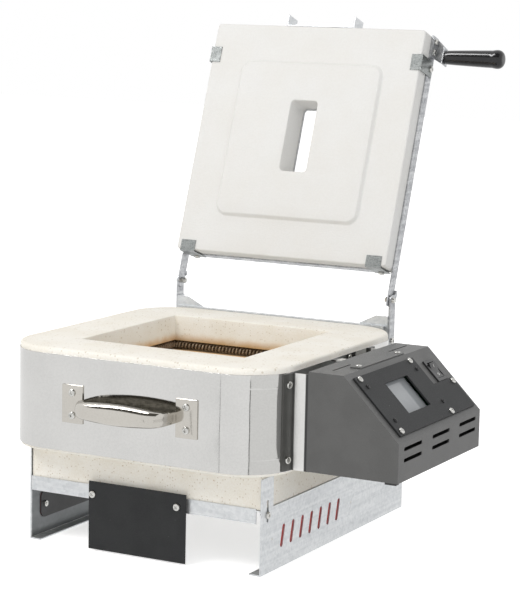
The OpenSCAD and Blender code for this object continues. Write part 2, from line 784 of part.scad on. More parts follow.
module box_shape(inset) {
    translate([0, box_y1 - inset, 0]) rotate([90, 0, 0]) linear_extrude(box_l - 2 * inset) polygon([
        [box_x0 + inset, box_z0 + inset], [box_x2 - inset, box_z0 + inset],
        [box_x2 - inset, box_zc - inset * tan(45 - slope_a / 2)],
        [box_x1 - inset * tan(slope_a / 2), box_z1 - inset], [box_x0 + inset, box_z1 - inset]]);
}

module lip_screw_holes() {
    for (y = box_screw_y, z = box_screw_z) translate([box_x0 - 5, y, z]) rotate([0, 90, 0])
        cylinder(r = screw_r, h = 12);
    for (y = box_flange_y, z = bracket_screw_z) translate([box_x0 - 5, y, z]) rotate([0, 90, 0])
        cylinder(r = screw_r, h = 12);
}

module control_box() {
    color(charcoal) union() {
        difference() {
            in_place() difference() {
                box_shape(0);
                box_shape(box_sheet);
                block([box_x0 - 1, box_y0 + lip, box_z0 + lip],
                    [box_x0 + box_sheet + 1, box_y1 - lip, box_z1 - lip]);
                for (y = vent_y, z = vent_z) translate([box_x2, y, z]) rotate([90, 0, 90])
                    translate([0, 0, -3]) linear_extrude(6) rotate(90) slot_2d(vent_h, vent_l);
                for (p = [[-102, 42], [36, 46]]) block([box_x0 + 17, p[0], box_z1 - 3],
                    [box_x0 + 19, p[0] + p[1], box_z1 + 1]);
                for (k = [0:3]) block([box_x0 + 24.6, -27 + 9 * k, box_z1 - 3],
                    [box_x0 + 26.2, -22 + 9 * k, box_z1 + 1]);
                for (y = cover_screw_y) translate([box_x1 - 7, y, box_z1 - 3])
                    cylinder(r = 1.6, h = 5);
                translate([gland_x, box_y1 - 3, gland_z]) rotate([-90, 0, 0])
                    cylinder(r = 7.1, h = 6);
                lip_screw_holes();
            }
            on_slope() {
                block([window_d - 4, window_y - 4, -5],
                    [window_d + window_l + 4, window_y + window_w + 4, 1]);
                translate([switch_d, switch_y, 0])
                    cube([switch_l - 3.2, switch_w - 3.2, 10], center = true);
                for (p = panel_screw_at) translate([p[0], p[1], -4]) cylinder(r = 1.7, h = 6);
                for (p = board_screw_at) translate([p[0], p[1], -4]) cylinder(r = 1.7, h = 6);
            }
        }
    }
}

module box_back_plate() {
    color(galvanised) in_place() difference() {
        block([plate_x, box_y0 + box_sheet + plate_fit, box_z0 + box_sheet + plate_fit],
            [plate_x + box_sheet, box_y1 - box_sheet - plate_fit, box_z1 - box_sheet - plate_fit]);
        for (y = tail_y) translate([plate_x - 1, y, element_z]) rotate([0, 90, 0])
            cylinder(r = tube_r + 0.2, h = 4);
        translate([plate_x - 1, probe_y, probe_z]) rotate([0, 90, 0])
            cylinder(r = tube_r + 0.2, h = 4);
        lip_screw_holes();
    }
}

module box_screws() {
    color(steel) in_place() for (y = box_screw_y, z = box_screw_z)
        translate([box_x0, y, z]) rotate([0, -90, 0]) pan_screw(l = 2 * box_sheet + 3);
}

module top_cover() {
    color(charcoal) in_place() difference() {
        block([cover_x, cover_y, box_z1], [cover_x + 12, cover_y + cover_l, box_z1 + box_sheet]);
        for (y = cover_screw_y) translate([box_x1 - 7, y, box_z1 - 1]) cylinder(r = 1.6, h = 5);
    }
}

module top_cover_screws() {
    color(steel) in_place() for (y = cover_screw_y) translate([box_x1 - 7, y, box_z1 + box_sheet])
        pan_screw(r = 1.6, hr = 3.2, hh = 1.8, l = 5);
}

bumper_l = 12.8;
bumper_h = 2.1;

module box_bumper() {
    color(black) in_place() block([box_x2 - bumper_l - 2, box_y0 + 0.4, box_z0 - bumper_h],
        [box_x2 - 2, box_y0 + 8, box_z0]);
}

module control_panel() {
    color(black) on_slope() linear_extrude(panel_t) difference() {
        union() {
            translate([panel_d0, panel_y0]) square([panel_d1 - panel_d0, notch_y - panel_y0]);
            translate([notch_d, panel_y0]) square([panel_d1 - notch_d, panel_y1 - panel_y0]);
        }
        translate([window_d, window_y]) square([window_l, window_w]);
        for (p = concat(panel_screw_at, board_screw_at)) translate(p) circle(1.7);
    }
}

module panel_screws() {
    color(steel) on_slope() for (p = panel_screw_at) translate([p[0], p[1], panel_t])
        pan_screw(r = 1.7, hr = 3.6, hh = 2, l = panel_t + box_sheet + 3);
}

module display() {
    color("#9aa4a8") on_slope() block([window_d - 3, window_y - 3, -board_drop],
        [window_d + window_l + 3, window_y + window_w + 3, -screen_drop]);
}

module controller_board() {
    color("#2c5f43") on_slope() difference() {
        union() {
            block([14, panel_y0 + 6, -board_drop - 1.6], [73, notch_y - 3, -board_drop]);
            for (p = board_screw_at) translate([p[0], p[1], -board_drop - 0.01])
                cylinder(r = 3.2, h = board_drop - box_sheet);
            block([24, panel_y0 + 20, -board_drop - 7], [44, panel_y0 + 52, -board_drop - 1.5]);
            block([50, panel_y0 + 40, -board_drop - 10], [66, panel_y0 + 60, -board_drop - 1.5]);
            block([20, panel_y0 + 80, -board_drop - 12], [38, panel_y0 + 125, -board_drop - 1.5]);
        }
        for (p = board_screw_at) translate([p[0], p[1], -board_drop - 3]) cylinder(r = 1.7, h = 20);
    }
}

module board_screws() {
    color(black) on_slope() for (p = board_screw_at) translate([p[0], p[1], panel_t])
        pan_screw(r = 1.7, hr = 2.6, hh = 1.2, l = panel_t + board_drop + 3);
}

module relay() {
    color("#3a3a3e") in_place() block([plate_x + box_sheet, -82, box_z0 + 16],
        [plate_x + box_sheet + 24, -38, box_z0 + 56]);
}

module terminal_block() {
    color("#d9d4c4") in_place() difference() {
        block([plate_x + box_sheet, -20, box_z0 + 12], [plate_x + box_sheet + 15, 44, box_z0 + 28]);
        for (k = [0:5]) translate([plate_x + box_sheet + 9, -15 + 10.8 * k, box_z0 + 22])
            cylinder(r = 2.4, h = 10);
    }
}

pocket_l = 20.6;
pocket_w = 16;
rocker_w = pocket_w - 2 * body_gap;
rocker_pin = 1.5;

module switch_housing() {
    color(black) on_slope() translate([switch_d, switch_y, 0]) difference() {
        union() {
            translate([-switch_l / 2, -switch_w / 2, 0]) cube([switch_l, switch_w, 2]);
            translate([-switch_l / 2 + 1.7, -switch_w / 2 + 1.7, -18])
                cube([switch_l - 3.4, switch_w - 3.4, 18.5]);
            for (a = [-7, 0, 7]) translate([a - 0.4, -3, -26]) cube([0.8, 6, 9]);
        }
        translate([-pocket_l / 2, -pocket_w / 2, -7]) cube([pocket_l, pocket_w, 12]);
        translate([0, 0, -rocker_drop]) rotate([90, 0, 0])
            cylinder(r = rocker_pin + run_gap, h = rocker_w + 3, center = true);
    }
}

module switch_rocker() {
    color("#1b1c1d") on_slope() translate([switch_d, switch_y, -rocker_drop]) rotate([0, rocker_tilt, 0])
        union() {
            rotate([90, 0, 0]) linear_extrude(rocker_w, center = true) polygon([[-9.4, 4.7],
                [-4.8, 3.5], [0, 3.1], [4.8, 3.5], [9.4, 4.7], [8, -3.5], [-8, -3.5]]);
            rotate([90, 0, 0]) cylinder(r = rocker_pin, h = rocker_w + 2.4, center = true);
        }
}

module cord_gland() {
    color(black) in_place() translate([gland_x, box_y1, gland_z]) rotate([-90, 0, 0]) difference() {
        union() {
            cylinder(r = 10.5, h = 6, $fn = 6);
            translate([0, 0, 5.9]) cylinder(r1 = 9, r2 = 6.5, h = 7);
            translate([0, 0, -8]) cylinder(r = 7, h = 8.1);
            translate([0, 0, -box_sheet - 4]) cylinder(r = 10.5, h = 4, $fn = 6);
        }
        translate([0, 0, -10]) cylinder(r = 3.6, h = 30);
    }
}

// Lid
clip_t = 0.9;
clip_w = 19.6;
clip_x = slab_w / 2 - 15.5;
clip_in = 11.8;
clip_low = -3;
side_clip_s = slab_end - 49.3;
side_clip_l = 19.4;
arm_out = arm_x + arm_t;
clip_screw_n = 2;
grip_screw_s = [slab_end - 19, slab_end - 6.5];
front_screw_n = 16;
front_half = 45;
front_ear = 14;
front_n = [4.5, 27];

// A solid box on the lid, from its s and n ranges
module lid_block(x0, x1, s0, s1, n0, n1) {
    translate([x0, -s1, -n1]) cube([x1 - x0, s1 - s0, n1 - n0]);
}

module lid_slab() {
    color(fibre) on_lid() difference() {
        union() {
            lid_block(-slab_w / 2, slab_w / 2, slab_off, slab_end, slab_back, lid_drop);
            translate([0, -pad_s, -lid_drop]) rotate([180, 0, 0]) hull() {
                linear_extrude(eps) rounded(pad_w, pad_w, pad_r + 4, $fn = 48);
                translate([0, 0, pad_h - eps]) linear_extrude(eps)
                    rounded(pad_w - 2 * pad_slope, pad_w - 2 * pad_slope, pad_r, $fn = 48);
            }
        }
        translate([0, -slot_s, -lid_drop - pad_h - 1]) linear_extrude(slab_t + pad_h + 2)
            exact_rounded(slot_w, slot_l, slot_r, $fn = 32);
    }
}

module lid_arm() {
    difference() {
        union() {
            lid_block(arm_x, arm_out, -8, slab_end, arm_low, arm_low + bar_w);
            lid_block(arm_x - 12, arm_x + eps, slab_off, slab_end, arm_low, slab_back);
        }
        translate([arm_x - 1, 0, 0]) rotate([0, 90, 0]) cylinder(r = pivot_d / 2 + run_gap, h = 4);
        translate([arm_x - 1, -side_clip_s - side_clip_l / 2, -clip_screw_n]) rotate([0, 90, 0])
            cylinder(r = screw_r + 0.1, h = 4);
    }
}

module lid_arm_right() {
    color(galvanised) on_lid() difference() {
        lid_arm();
        for (s = grip_screw_s) translate([arm_x - 1, -s, -clip_screw_n]) rotate([0, 90, 0])
            cylinder(r = screw_r + 0.1, h = 4);
    }
}

module lid_arm_left() {
    color(galvanised) on_lid() mirror([1, 0, 0]) lid_arm();
}

module lid_cross_angle() {
    color(galvanised) on_lid() difference() {
        union() {
            lid_block(12.1 - arm_x, arm_x - 12.1, slab_off - sheet, slab_off, arm_low, arm_low + bar_w);
            lid_block(12.1 - arm_x, arm_x - 12.1, slab_off - eps, slab_off + 12.5, arm_low, slab_back);
        }
        for (x = [-clip_x, clip_x]) translate([x, -slab_off - 1, -clip_screw_n]) rotate([-90, 0, 0])
            cylinder(r = screw_r + 0.1, h = 4);
    }
}

module lid_clips() {
    s0 = slab_off - sheet - clip_t;
    color(galvanised) on_lid() for (m = [0, 1]) mirror([m, 0, 0]) {
        difference() {
            union() {
                lid_block(clip_x - clip_w / 2, clip_x + clip_w / 2, s0, slab_off + clip_in,
                    lid_drop, lid_drop + clip_t);
                lid_block(clip_x - clip_w / 2, clip_x + clip_w / 2, s0, s0 + clip_t, clip_low,
                    lid_drop + clip_t - eps);
            }
            translate([clip_x, -slab_off - 1, -clip_screw_n]) rotate([-90, 0, 0])
                cylinder(r = screw_r + 0.1, h = 8);
        }
        difference() {
            union() {
                lid_block(slab_w / 2 - clip_in, arm_out + clip_t, side_clip_s,
                    side_clip_s + side_clip_l, lid_drop, lid_drop + clip_t);
                lid_block(arm_out, arm_out + clip_t, side_clip_s, side_clip_s + side_clip_l,
                    clip_low, lid_drop + clip_t - eps);
            }
            translate([arm_x - 1, -side_clip_s - side_clip_l / 2, -clip_screw_n])
                rotate([0, 90, 0]) cylinder(r = screw_r + 0.1, h = 8);
        }
    }
}

module clip_screws() {
    color(steel) on_lid() union() {
        for (m = [0, 1]) mirror([m, 0, 0]) {
            translate([clip_x, clip_t + sheet - slab_off, -clip_screw_n]) rotate([-90, 0, 0])
                pan_screw(l = clip_t + sheet);
            translate([arm_out + clip_t, -side_clip_s - side_clip_l / 2, -clip_screw_n])
                rotate([0, 90, 0]) pan_screw(l = clip_t + arm_t);
        }
        translate([0, -slab_end - sheet, -front_screw_n]) rotate([90, 0, 0]) pan_screw(l = sheet);
    }
}

module front_bracket() {
    color(galvanised) on_lid() difference() {
        union() {
            lid_block(-front_half, front_half, slab_end, slab_end + sheet, front_n[0], front_n[1]);
            for (x = [-front_half, front_half - sheet])
                lid_block(x, x + sheet, slab_end, slab_end + front_ear, front_n[0], front_n[1]);
        }
        translate([0, -slab_end + 1, -front_screw_n]) rotate([90, 0, 0])
            cylinder(r = screw_r + 0.1, h = 5);
    }
}

module slot_plate() {
    color(galvanised) on_lid() difference() {
        lid_block(-slot_w / 2 - 12, slot_w / 2 + 12, slot_s - slot_l / 2 - 12,
            slot_s + slot_l / 2 + 12, slab_back - 1, slab_back);
        translate([0, -slot_s, -slab_back - 1]) linear_extrude(3)
            exact_rounded(slot_w - 4, slot_l - 4, slot_r - 0.8);
    }
}

module grip_bracket() {
    color(galvanised) on_lid() difference() {
        union() {
            lid_block(arm_out, arm_out + sheet, slab_end - 25, slab_end - 0.5, arm_low, arm_low + bar_w);
            translate([0, 0, -arm_low - sheet]) linear_extrude(sheet) polygon([
                [arm_out, 25 - slab_end], [arm_out, 0.5 - slab_end], [arm_out + 4, 3.5 - slab_end],
                [grip_x, 14.5 - slab_end], [grip_x, 34 - slab_end]]);
            lid_block(grip_x - sheet, grip_x, slab_end - 34, slab_end - 14.5, arm_low, arm_low + bar_w);
        }
        for (s = grip_screw_s) translate([arm_x, -s, -clip_screw_n]) rotate([0, 90, 0])
            cylinder(r = screw_r + 0.1, h = 6);
        translate([grip_x - 4, -grip_s, -grip_n]) rotate([0, 90, 0]) cylinder(r = 2.6, h = 6);
    }
}

module grip_screws() {
    color(steel) on_lid() union() {
        for (s = grip_screw_s) translate([arm_out + sheet, -s, -clip_screw_n]) rotate([0, 90, 0])
            pan_screw(hr = 3.6, l = sheet + arm_t);
        translate([grip_x - sheet, -grip_s, -grip_n]) rotate([0, -90, 0])
            pan_screw(r = 2.5, l = sheet + 20);
    }
}

grip_steps = 24;
function grip_radius(t) = (grip_d1 + (grip_d2 - grip_d1) * t) / 2
    * pow(1 - pow(max(0, (t - 0.86) / 0.14), 2.4), 0.42) * (t < 0.03 ? 0.9 : 1);

module lid_grip() {
    color(black) on_lid() translate([grip_x, -grip_s, -grip_n]) rotate([0, 90, 0]) difference() {
        rotate_extrude() polygon(concat([[0, 0]],
            [for (i = [0:grip_steps - 1]) let (t = i / grip_steps) [grip_radius(t), grip_l * t]],
            [[1.5, grip_l], [0, grip_l]]));
        translate([0, 0, -1]) cylinder(r = 2.5, h = 22);
    }
}

side_panel_left();
side_panel_right();
front_rail();
rear_rail();
floor_brick();
panel_insets();
inset_nuts();
notice_plate();
notice_spacers();
notice_screws();
rail_screws();
tilt_bolts();
brick_ring();
heating_element();
element_tubes();
thermocouple();
steel_jacket();
lift_handle();
handle_screws();
rear_plate();
hinge_post_left();
hinge_post_right();
post_screws();
lid_pivot_bolts();
box_brackets();
bracket_screws();
control_box();
box_back_plate();
box_screws();
box_bumper();
top_cover();
top_cover_screws();
control_panel();
panel_screws();
display();
controller_board();
board_screws();
relay();
terminal_block();
switch_housing();
switch_rocker();
cord_gland();
lid_slab();
lid_arm_left();
lid_arm_right();
lid_cross_angle();
lid_clips();
clip_screws();
front_bracket();
slot_plate();
grip_bracket();
grip_screws();
lid_grip();
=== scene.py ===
import json
import math
import random

import bmesh
import bpy
import numpy as np
from mathutils import Matrix, Vector, noise


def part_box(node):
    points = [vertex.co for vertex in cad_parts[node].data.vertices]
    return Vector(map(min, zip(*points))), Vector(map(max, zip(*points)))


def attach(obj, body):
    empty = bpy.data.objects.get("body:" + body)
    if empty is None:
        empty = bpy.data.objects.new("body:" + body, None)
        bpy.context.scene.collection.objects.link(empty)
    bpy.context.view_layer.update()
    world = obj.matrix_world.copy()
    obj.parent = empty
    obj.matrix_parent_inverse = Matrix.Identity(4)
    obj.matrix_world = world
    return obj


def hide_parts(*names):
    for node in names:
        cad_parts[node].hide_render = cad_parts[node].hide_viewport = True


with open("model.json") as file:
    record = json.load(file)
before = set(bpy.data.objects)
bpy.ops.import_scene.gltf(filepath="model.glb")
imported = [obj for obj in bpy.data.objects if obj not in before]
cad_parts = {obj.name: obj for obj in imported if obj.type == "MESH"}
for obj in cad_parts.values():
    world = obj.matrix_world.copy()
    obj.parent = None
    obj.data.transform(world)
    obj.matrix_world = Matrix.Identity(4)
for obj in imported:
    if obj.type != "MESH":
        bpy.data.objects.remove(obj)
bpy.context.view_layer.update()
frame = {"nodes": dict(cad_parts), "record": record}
nodes = frame["nodes"]
record = frame["record"]
random.seed(7)

bodyOf = {node: body for body, members in record["behaviour"]["bodies"].items() for node in members}
slotOf = {part["node"]: part["material_slot"] for part in record["subparts"]}

# Kiln places in millimetres, from the middle of the chamber at floor level
kiln = {"chamber": 203.2, "ringHalf": 165.1, "ringRound": 57.0, "ringFoot": 108.4, "ringTop": 222.7,
        "jacketHalf": 165.7, "elementUp": 187.4, "pivotBack": 180.0, "pivotUp": 252.0, "lean": 19.45}
ringLow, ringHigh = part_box("brick_ring")
middle = Vector(((ringLow[0] + ringHigh[0]) / 2, (ringLow[1] + ringHigh[1]) / 2, 0))


def at(x, y, z):
    # from kiln millimetres to metres in the scene
    return Vector((x, y, z)) / 1000 + middle


def onLid(x, along, under):
    # along runs from the pivot to the lid's free edge, under points out of its inner face
    lean = math.radians(kiln["lean"])
    return at(x, kiln["pivotBack"] + along * math.sin(lean) - under * math.cos(lean),
              kiln["pivotUp"] + along * math.cos(lean) + under * math.sin(lean))


print("stage: frame loaded,", len(nodes), "nodes")


# shader helpers
def feed(tree, target, source):
    tree.links.new(source, target)


def addNode(tree, kind, inputs=None, **values):
    # inputs are plain values or other nodes' sockets, by the name or the number of the input
    node = tree.nodes.new(kind)
    for key, value in values.items():
        setattr(node, key, value)
    for label, value in (inputs or {}).items():
        if isinstance(value, bpy.types.NodeSocket):
            feed(tree, node.inputs[label], value)
        else:
            node.inputs[label].default_value = value
    return node


def opaque(value):
    return value + (1.0,) if isinstance(value, tuple) else value


def mathNode(tree, operation, first, second=0.0):
    return addNode(tree, "ShaderNodeMath", {0: first, 1: second}, operation=operation).outputs[0]


def times(tree, first, second):
    return mathNode(tree, "MULTIPLY", first, second)


def vectorNode(tree, operation, *parts):
    return addNode(tree, "ShaderNodeVectorMath", dict(enumerate(parts)), operation=operation).outputs[0]


def axes(tree, place):
    return addNode(tree, "ShaderNodeSeparateXYZ", {0: place}).outputs


def upright(tree, height):
    return addNode(tree, "ShaderNodeCombineXYZ", {2: height}).outputs[0]


def noiseNode(tree, place, scale, detail=2.0):
    return addNode(tree, "ShaderNodeTexNoise", {"Vector": place, "Scale": scale, "Detail": detail})


def cellNode(tree, place, scale):
    # cells of a Voronoi pattern, and three random shares of each cell
    cells = addNode(tree, "ShaderNodeTexVoronoi", {"Vector": place, "Scale": scale})
    return cells, addNode(tree, "ShaderNodeSeparateColor", {0: cells.outputs["Color"]}).outputs


def stretched(tree, place, scale):
    return addNode(tree, "ShaderNodeMapping", {"Vector": place, "Scale": scale}).outputs[0]


def ramp(tree, source, low, high, start=0.0, end=1.0, smooth=True):
    inputs = {"Value": source, "From Min": low, "From Max": high, "To Min": start, "To Max": end}
    return addNode(tree, "ShaderNodeMapRange", inputs,
                   interpolation_type="SMOOTHSTEP" if smooth else "LINEAR").outputs["Result"]


def roughen(tree, shader, source, low, high):
    feed(tree, shader.inputs["Roughness"], ramp(tree, source, 0.0, 1.0, low, high, smooth=False))


def mixColour(tree, factor, first, second):
    inputs = {0: factor, 6: opaque(first), 7: opaque(second)}
    return addNode(tree, "ShaderNodeMix", inputs, data_type="RGBA").outputs[2]


def nodeGroup(name, kind, inputs, outputs):
    # a group's tree, what it is given and what it gives back
    tree = bpy.data.node_groups.new(name, kind)
    for label, socketKind, value in inputs:
        socket = tree.interface.new_socket(label, in_out="INPUT", socket_type=socketKind)
        if value is not None:
            socket.default_value = value
    for label, socketKind in outputs:
        tree.interface.new_socket(label, in_out="OUTPUT", socket_type=socketKind)
    return tree, addNode(tree, "NodeGroupInput").outputs, addNode(tree, "NodeGroupOutput").inputs


def shaderGroup(name, inputs, outputs):
    return nodeGroup(name, "ShaderNodeTree", inputs, outputs)


def makeGrainGroup():
    # two colours broken up at a coarse and a fine scale, with a height for a bump
    tree, start, end = shaderGroup("grain", [
        ("Vector", "NodeSocketVector", None), ("Light", "NodeSocketColor", (0.8, 0.8, 0.8, 1)),
        ("Dark", "NodeSocketColor", (0.6, 0.6, 0.6, 1)), ("Coarse", "NodeSocketFloat", 30.0),
        ("Fine", "NodeSocketFloat", 900.0)],
        [("Colour", "NodeSocketColor"), ("Height", "NodeSocketFloat"), ("Patch", "NodeSocketFloat")])
    coarse = noiseNode(tree, start["Vector"], start["Coarse"], 4)
    fine = noiseNode(tree, start["Vector"], start["Fine"], 3)
    patch = ramp(tree, coarse.outputs[0], 0.35, 0.68)
    spot = ramp(tree, fine.outputs[0], 0.4, 0.62)
    both = mathNode(tree, "ADD", times(tree, patch, 0.6), times(tree, spot, 0.4))
    feed(tree, end["Colour"], mixColour(tree, both, start["Light"], start["Dark"]))
    feed(tree, end["Height"], fine.outputs[0])
    feed(tree, end["Patch"], patch)
    return tree


def makeSpeckGroup():
    # small scattered round marks, such as pores or grit
    tree, start, end = shaderGroup("specks", [
        ("Vector", "NodeSocketVector", None), ("Scale", "NodeSocketFloat", 300.0),
        ("Size", "NodeSocketFloat", 0.2), ("Share", "NodeSocketFloat", 0.5)],
        [("Mask", "NodeSocketFloat")])
    cells, chance = cellNode(tree, start["Vector"], start["Scale"])
    near = mathNode(tree, "LESS_THAN", cells.outputs["Distance"], times(tree, start["Size"], chance[1]))
    kept = mathNode(tree, "LESS_THAN", chance[0], start["Share"])
    feed(tree, end["Mask"], times(tree, near, kept))
    return tree


def makeSpangleGroup():
    # frosted crystals of zinc, each with its own brightness, under faint rolling streaks
    tree, start, end = shaderGroup("spangle", [
        ("Vector", "NodeSocketVector", None), ("Light", "NodeSocketColor", (0.8, 0.8, 0.8, 1)),
        ("Dark", "NodeSocketColor", (0.6, 0.6, 0.6, 1)), ("Scale", "NodeSocketFloat", 260.0)],
        [("Colour", "NodeSocketColor"), ("Roughness", "NodeSocketFloat"), ("Height", "NodeSocketFloat")])
    bend = noiseNode(tree, start["Vector"], 160)
    shifted = vectorNode(tree, "MULTIPLY_ADD", bend.outputs["Color"], (0.004, 0.004, 0.004),
                         start["Vector"])
    shade = cellNode(tree, shifted, start["Scale"])[1]
    streak = noiseNode(tree, stretched(tree, start["Vector"], (60, 8, 260)), 1.0)
    mask = mathNode(tree, "ADD", times(tree, shade[0], 0.55),
                    times(tree, ramp(tree, streak.outputs[0], 0.3, 0.7), 0.45))
    feed(tree, end["Colour"], mixColour(tree, mask, start["Light"], start["Dark"]))
    feed(tree, end["Roughness"], ramp(tree, mask, 0.0, 1.0, 0.3, 0.5, smooth=False))
    feed(tree, end["Height"], shade[1])
    return tree


grainGroup = makeGrainGroup()
speckGroup = makeSpeckGroup()
spangleGroup = makeSpangleGroup()


def newMaterial(name, **shaderValues):
    material = bpy.data.materials.new(name)
    material.use_nodes = True
    tree = material.node_tree
    shader = tree.nodes["Principled BSDF"]
    for label, value in shaderValues.items():
        shader.inputs[label.replace("_", " ")].default_value = value
    place = addNode(tree, "ShaderNodeTexCoord").outputs["Object"]
    return material, tree, shader, place


def useGroup(tree, group, place, **values):
    inputs = {label: opaque(value) for label, value in values.items()}
    return addNode(tree, "ShaderNodeGroup", {"Vector": place, **inputs}, node_tree=group)


def grainOf(tree, place, light, dark, coarse, fine):
    return useGroup(tree, grainGroup, place, Light=light, Dark=dark, Coarse=coarse, Fine=fine).outputs


def specksOf(tree, place, scale, size, share):
    return useGroup(tree, speckGroup, place, Scale=scale, Size=size, Share=share).outputs[0]


def surface(tree, shader, colour, height, strength, distance):
    inputs = {"Strength": strength, "Distance": distance, "Height": height}
    feed(tree, shader.inputs["Base Color"], colour)
    feed(tree, shader.inputs["Normal"], addNode(tree, "ShaderNodeBump", inputs).outputs[0])


def makeFirebrick():
    brickLook = {"light": (0.93, 0.905, 0.845), "dark": (0.86, 0.815, 0.725),
                 "pore": (0.55, 0.46, 0.34), "crumb": (0.5, 0.36, 0.2), "amber": (0.62, 0.33, 0.08),
                 "burnt": (0.06, 0.03, 0.015), "warm": (0.74, 0.56, 0.34),
                 "cavityReach": 0.1131, "grooveReach": 0.1025}
    material, tree, shader, place = newMaterial("firebrick", Roughness=0.92)
    grain = grainOf(tree, place, brickLook["light"], brickLook["dark"], 22.0, 620.0)
    pores = specksOf(tree, place, 330.0, 0.42, 0.34)
    crumbs = specksOf(tree, place, 90.0, 0.10, 0.16)
    colour = mixColour(tree, times(tree, pores, 0.5), grain["Colour"], brickLook["pore"])
    colour = mixColour(tree, times(tree, crumbs, 0.6), colour, brickLook["crumb"])
    # heat has browned the brick above and round the element's groove; the back of the groove is painted
    # nearly black as shade, and the inner walls turn warmer towards the bottom
    x, y, z = axes(tree, place)
    wobble = noiseNode(tree, place, 55)
    up = mathNode(tree, "ADD", z, times(tree, wobble.outputs[0], 0.008))
    low = kiln["elementUp"] / 1000
    halo = times(tree, ramp(tree, up, low - 0.014, low - 0.002),
                 ramp(tree, up, low + 0.007, low + 0.021, 1.0, 0.0))
    sides = [mathNode(tree, "ABSOLUTE", mathNode(tree, "SUBTRACT", side, centre))
             for side, centre in ((x, middle.x), (y, middle.y))]
    reach = mathNode(tree, "MAXIMUM", *sides)
    within = times(tree, mathNode(tree, "LESS_THAN", z, kiln["ringTop"] / 1000 - 0.002),
                   mathNode(tree, "GREATER_THAN", z, kiln["ringFoot"] / 1000 + 0.0004))
    inside = times(tree, mathNode(tree, "LESS_THAN", reach, brickLook["cavityReach"]), within)
    # painted shade, nearly black, at the back of the element's groove
    deep = times(tree, mathNode(tree, "GREATER_THAN", reach, brickLook["grooveReach"]), inside)
    walls = times(tree, inside, ramp(tree, z, low - 0.02, low + 0.034, 1.0, 0.0))
    for mask, share, stain in ((times(tree, halo, inside), 0.9, "amber"), (deep, 0.9, "burnt"),
                               (walls, 0.3, "warm")):
        colour = mixColour(tree, times(tree, mask, share), colour, brickLook[stain])
    height = mathNode(tree, "SUBTRACT", grain["Height"], times(tree, pores, 0.5))
    surface(tree, shader, colour, height, 0.35, 0.0006)
    return material


def makeFibreBoard():
    boardLook = {"light": (0.775, 0.772, 0.757), "dark": (0.745, 0.738, 0.718),
                 "warm": (0.86, 0.80, 0.70)}
    material, tree, shader, place = newMaterial("fibreBoard", Roughness=0.95)
    grain = grainOf(tree, place, boardLook["light"], boardLook["dark"], 16.0, 420.0)
    fibres = noiseNode(tree, stretched(tree, place, (220, 900, 900)), 1.0)
    warm = times(tree, grain["Patch"], 0.06)
    colour = mixColour(tree, warm, grain["Colour"], boardLook["warm"])
    height = mathNode(tree, "ADD", grain["Height"], fibres.outputs[0])
    surface(tree, shader, colour, height, 0.25, 0.0005)
    return material


def makePolishedSteel(name, tone, roughness, wave):
    # bright sheet whose gentle dents pull the reflections about, with a small step at each hem
    material, tree, shader, place = newMaterial(name, Metallic=1.0, Roughness=roughness)
    grain = grainOf(tree, place, tone, tuple(c * 0.93 for c in tone), 14.0, 500.0)
    up = axes(tree, place)[2]
    steps = [ramp(tree, up, level, level + 0.0015, 0.0, step) for level, step in wave["hems"]]
    moved = vectorNode(tree, "ADD", place, upright(tree, mathNode(tree, "ADD", *steps)))
    dents = noiseNode(tree, stretched(tree, moved, wave["stretch"]), wave["scale"], 1.0)
    roughen(tree, shader, grain["Patch"], roughness, roughness + 0.05)
    surface(tree, shader, grain["Colour"], dents.outputs[0], wave["strength"], wave["depth"])
    return material


def makeGalvanised(name, light, dark, metal=0.8, crystals=240.0, dullInside=False):
    material, tree, shader, place = newMaterial(name, Metallic=metal, Roughness=0.4)
    spangle = useGroup(tree, spangleGroup, place, Light=light, Dark=dark, Scale=crystals).outputs
    scuffs = specksOf(tree, place, 70.0, 0.07, 0.25)
    colour = mixColour(tree, times(tree, scuffs, 0.4), spangle["Colour"],
                       tuple(c * 0.55 for c in dark))
    if dullInside:
        # painted shade on the left panel's inner face, clear of its front tab and its foot
        x, y, z = axes(tree, place)
        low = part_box("side_panel_left")[0]
        inner = mathNode(tree, "GREATER_THAN", x, low[0] + 0.0008)
        clear = times(tree, mathNode(tree, "GREATER_THAN", y, low[1] + 0.0016),
                      mathNode(tree, "GREATER_THAN", z, 0.002))
        colour = mixColour(tree, times(tree, inner, clear), colour, (0.20, 0.21, 0.215))
    feed(tree, shader.inputs["Roughness"], spangle["Roughness"])
    surface(tree, shader, colour, spangle["Height"], 0.12, 0.0002)
    return material


def makePowderCoat(name, light, dark, roughness, grit, shine=0.3):
    material, tree, shader, place = newMaterial(name, Roughness=roughness, Specular_IOR_Level=shine)
    grain = grainOf(tree, place, light, dark, 35.0, grit)
    dust = specksOf(tree, place, 260.0, 0.16, 0.10)
    colour = mixColour(tree, times(tree, dust, 0.18), grain["Colour"],
                       (0.4, 0.39, 0.37))
    height = grain["Height"]
    feed(tree, shader.inputs["Roughness"],
         ramp(tree, height, 0.3, 0.7, roughness - 0.04, roughness + 0.06, smooth=False))
    surface(tree, shader, colour, height, 0.35, 0.0004)
    return material


def makeGrained(name, light, dark, scales, relief, spread, **shaderValues):
    # two close tones; scales are the coarse and the fine grain, spread widens the roughness
    material, tree, shader, place = newMaterial(name, **shaderValues)
    grain = grainOf(tree, place, light, dark, scales[0], scales[1])
    if spread:
        roughness = shaderValues["Roughness"]
        roughen(tree, shader, grain["Patch"], roughness, roughness + spread)
    surface(tree, shader, grain["Colour"], grain["Height"], *relief)
    return material


def makePlastic(name, light, dark, roughness, coat=0.0, fine=700.0, relief=0.08, shine=0.5):
    return makeGrained(name, light, dark, (60.0, fine), (relief, 0.0003), 0.07, Roughness=roughness,
                       Coat_Weight=coat, Coat_Roughness=0.08, Specular_IOR_Level=shine)


def makeZinc(name, light, dark, roughness):
    return makeGrained(name, light, dark, (260.0, 1500.0), (0.1, 0.0001), 0.12,
                       Metallic=1.0, Roughness=roughness)


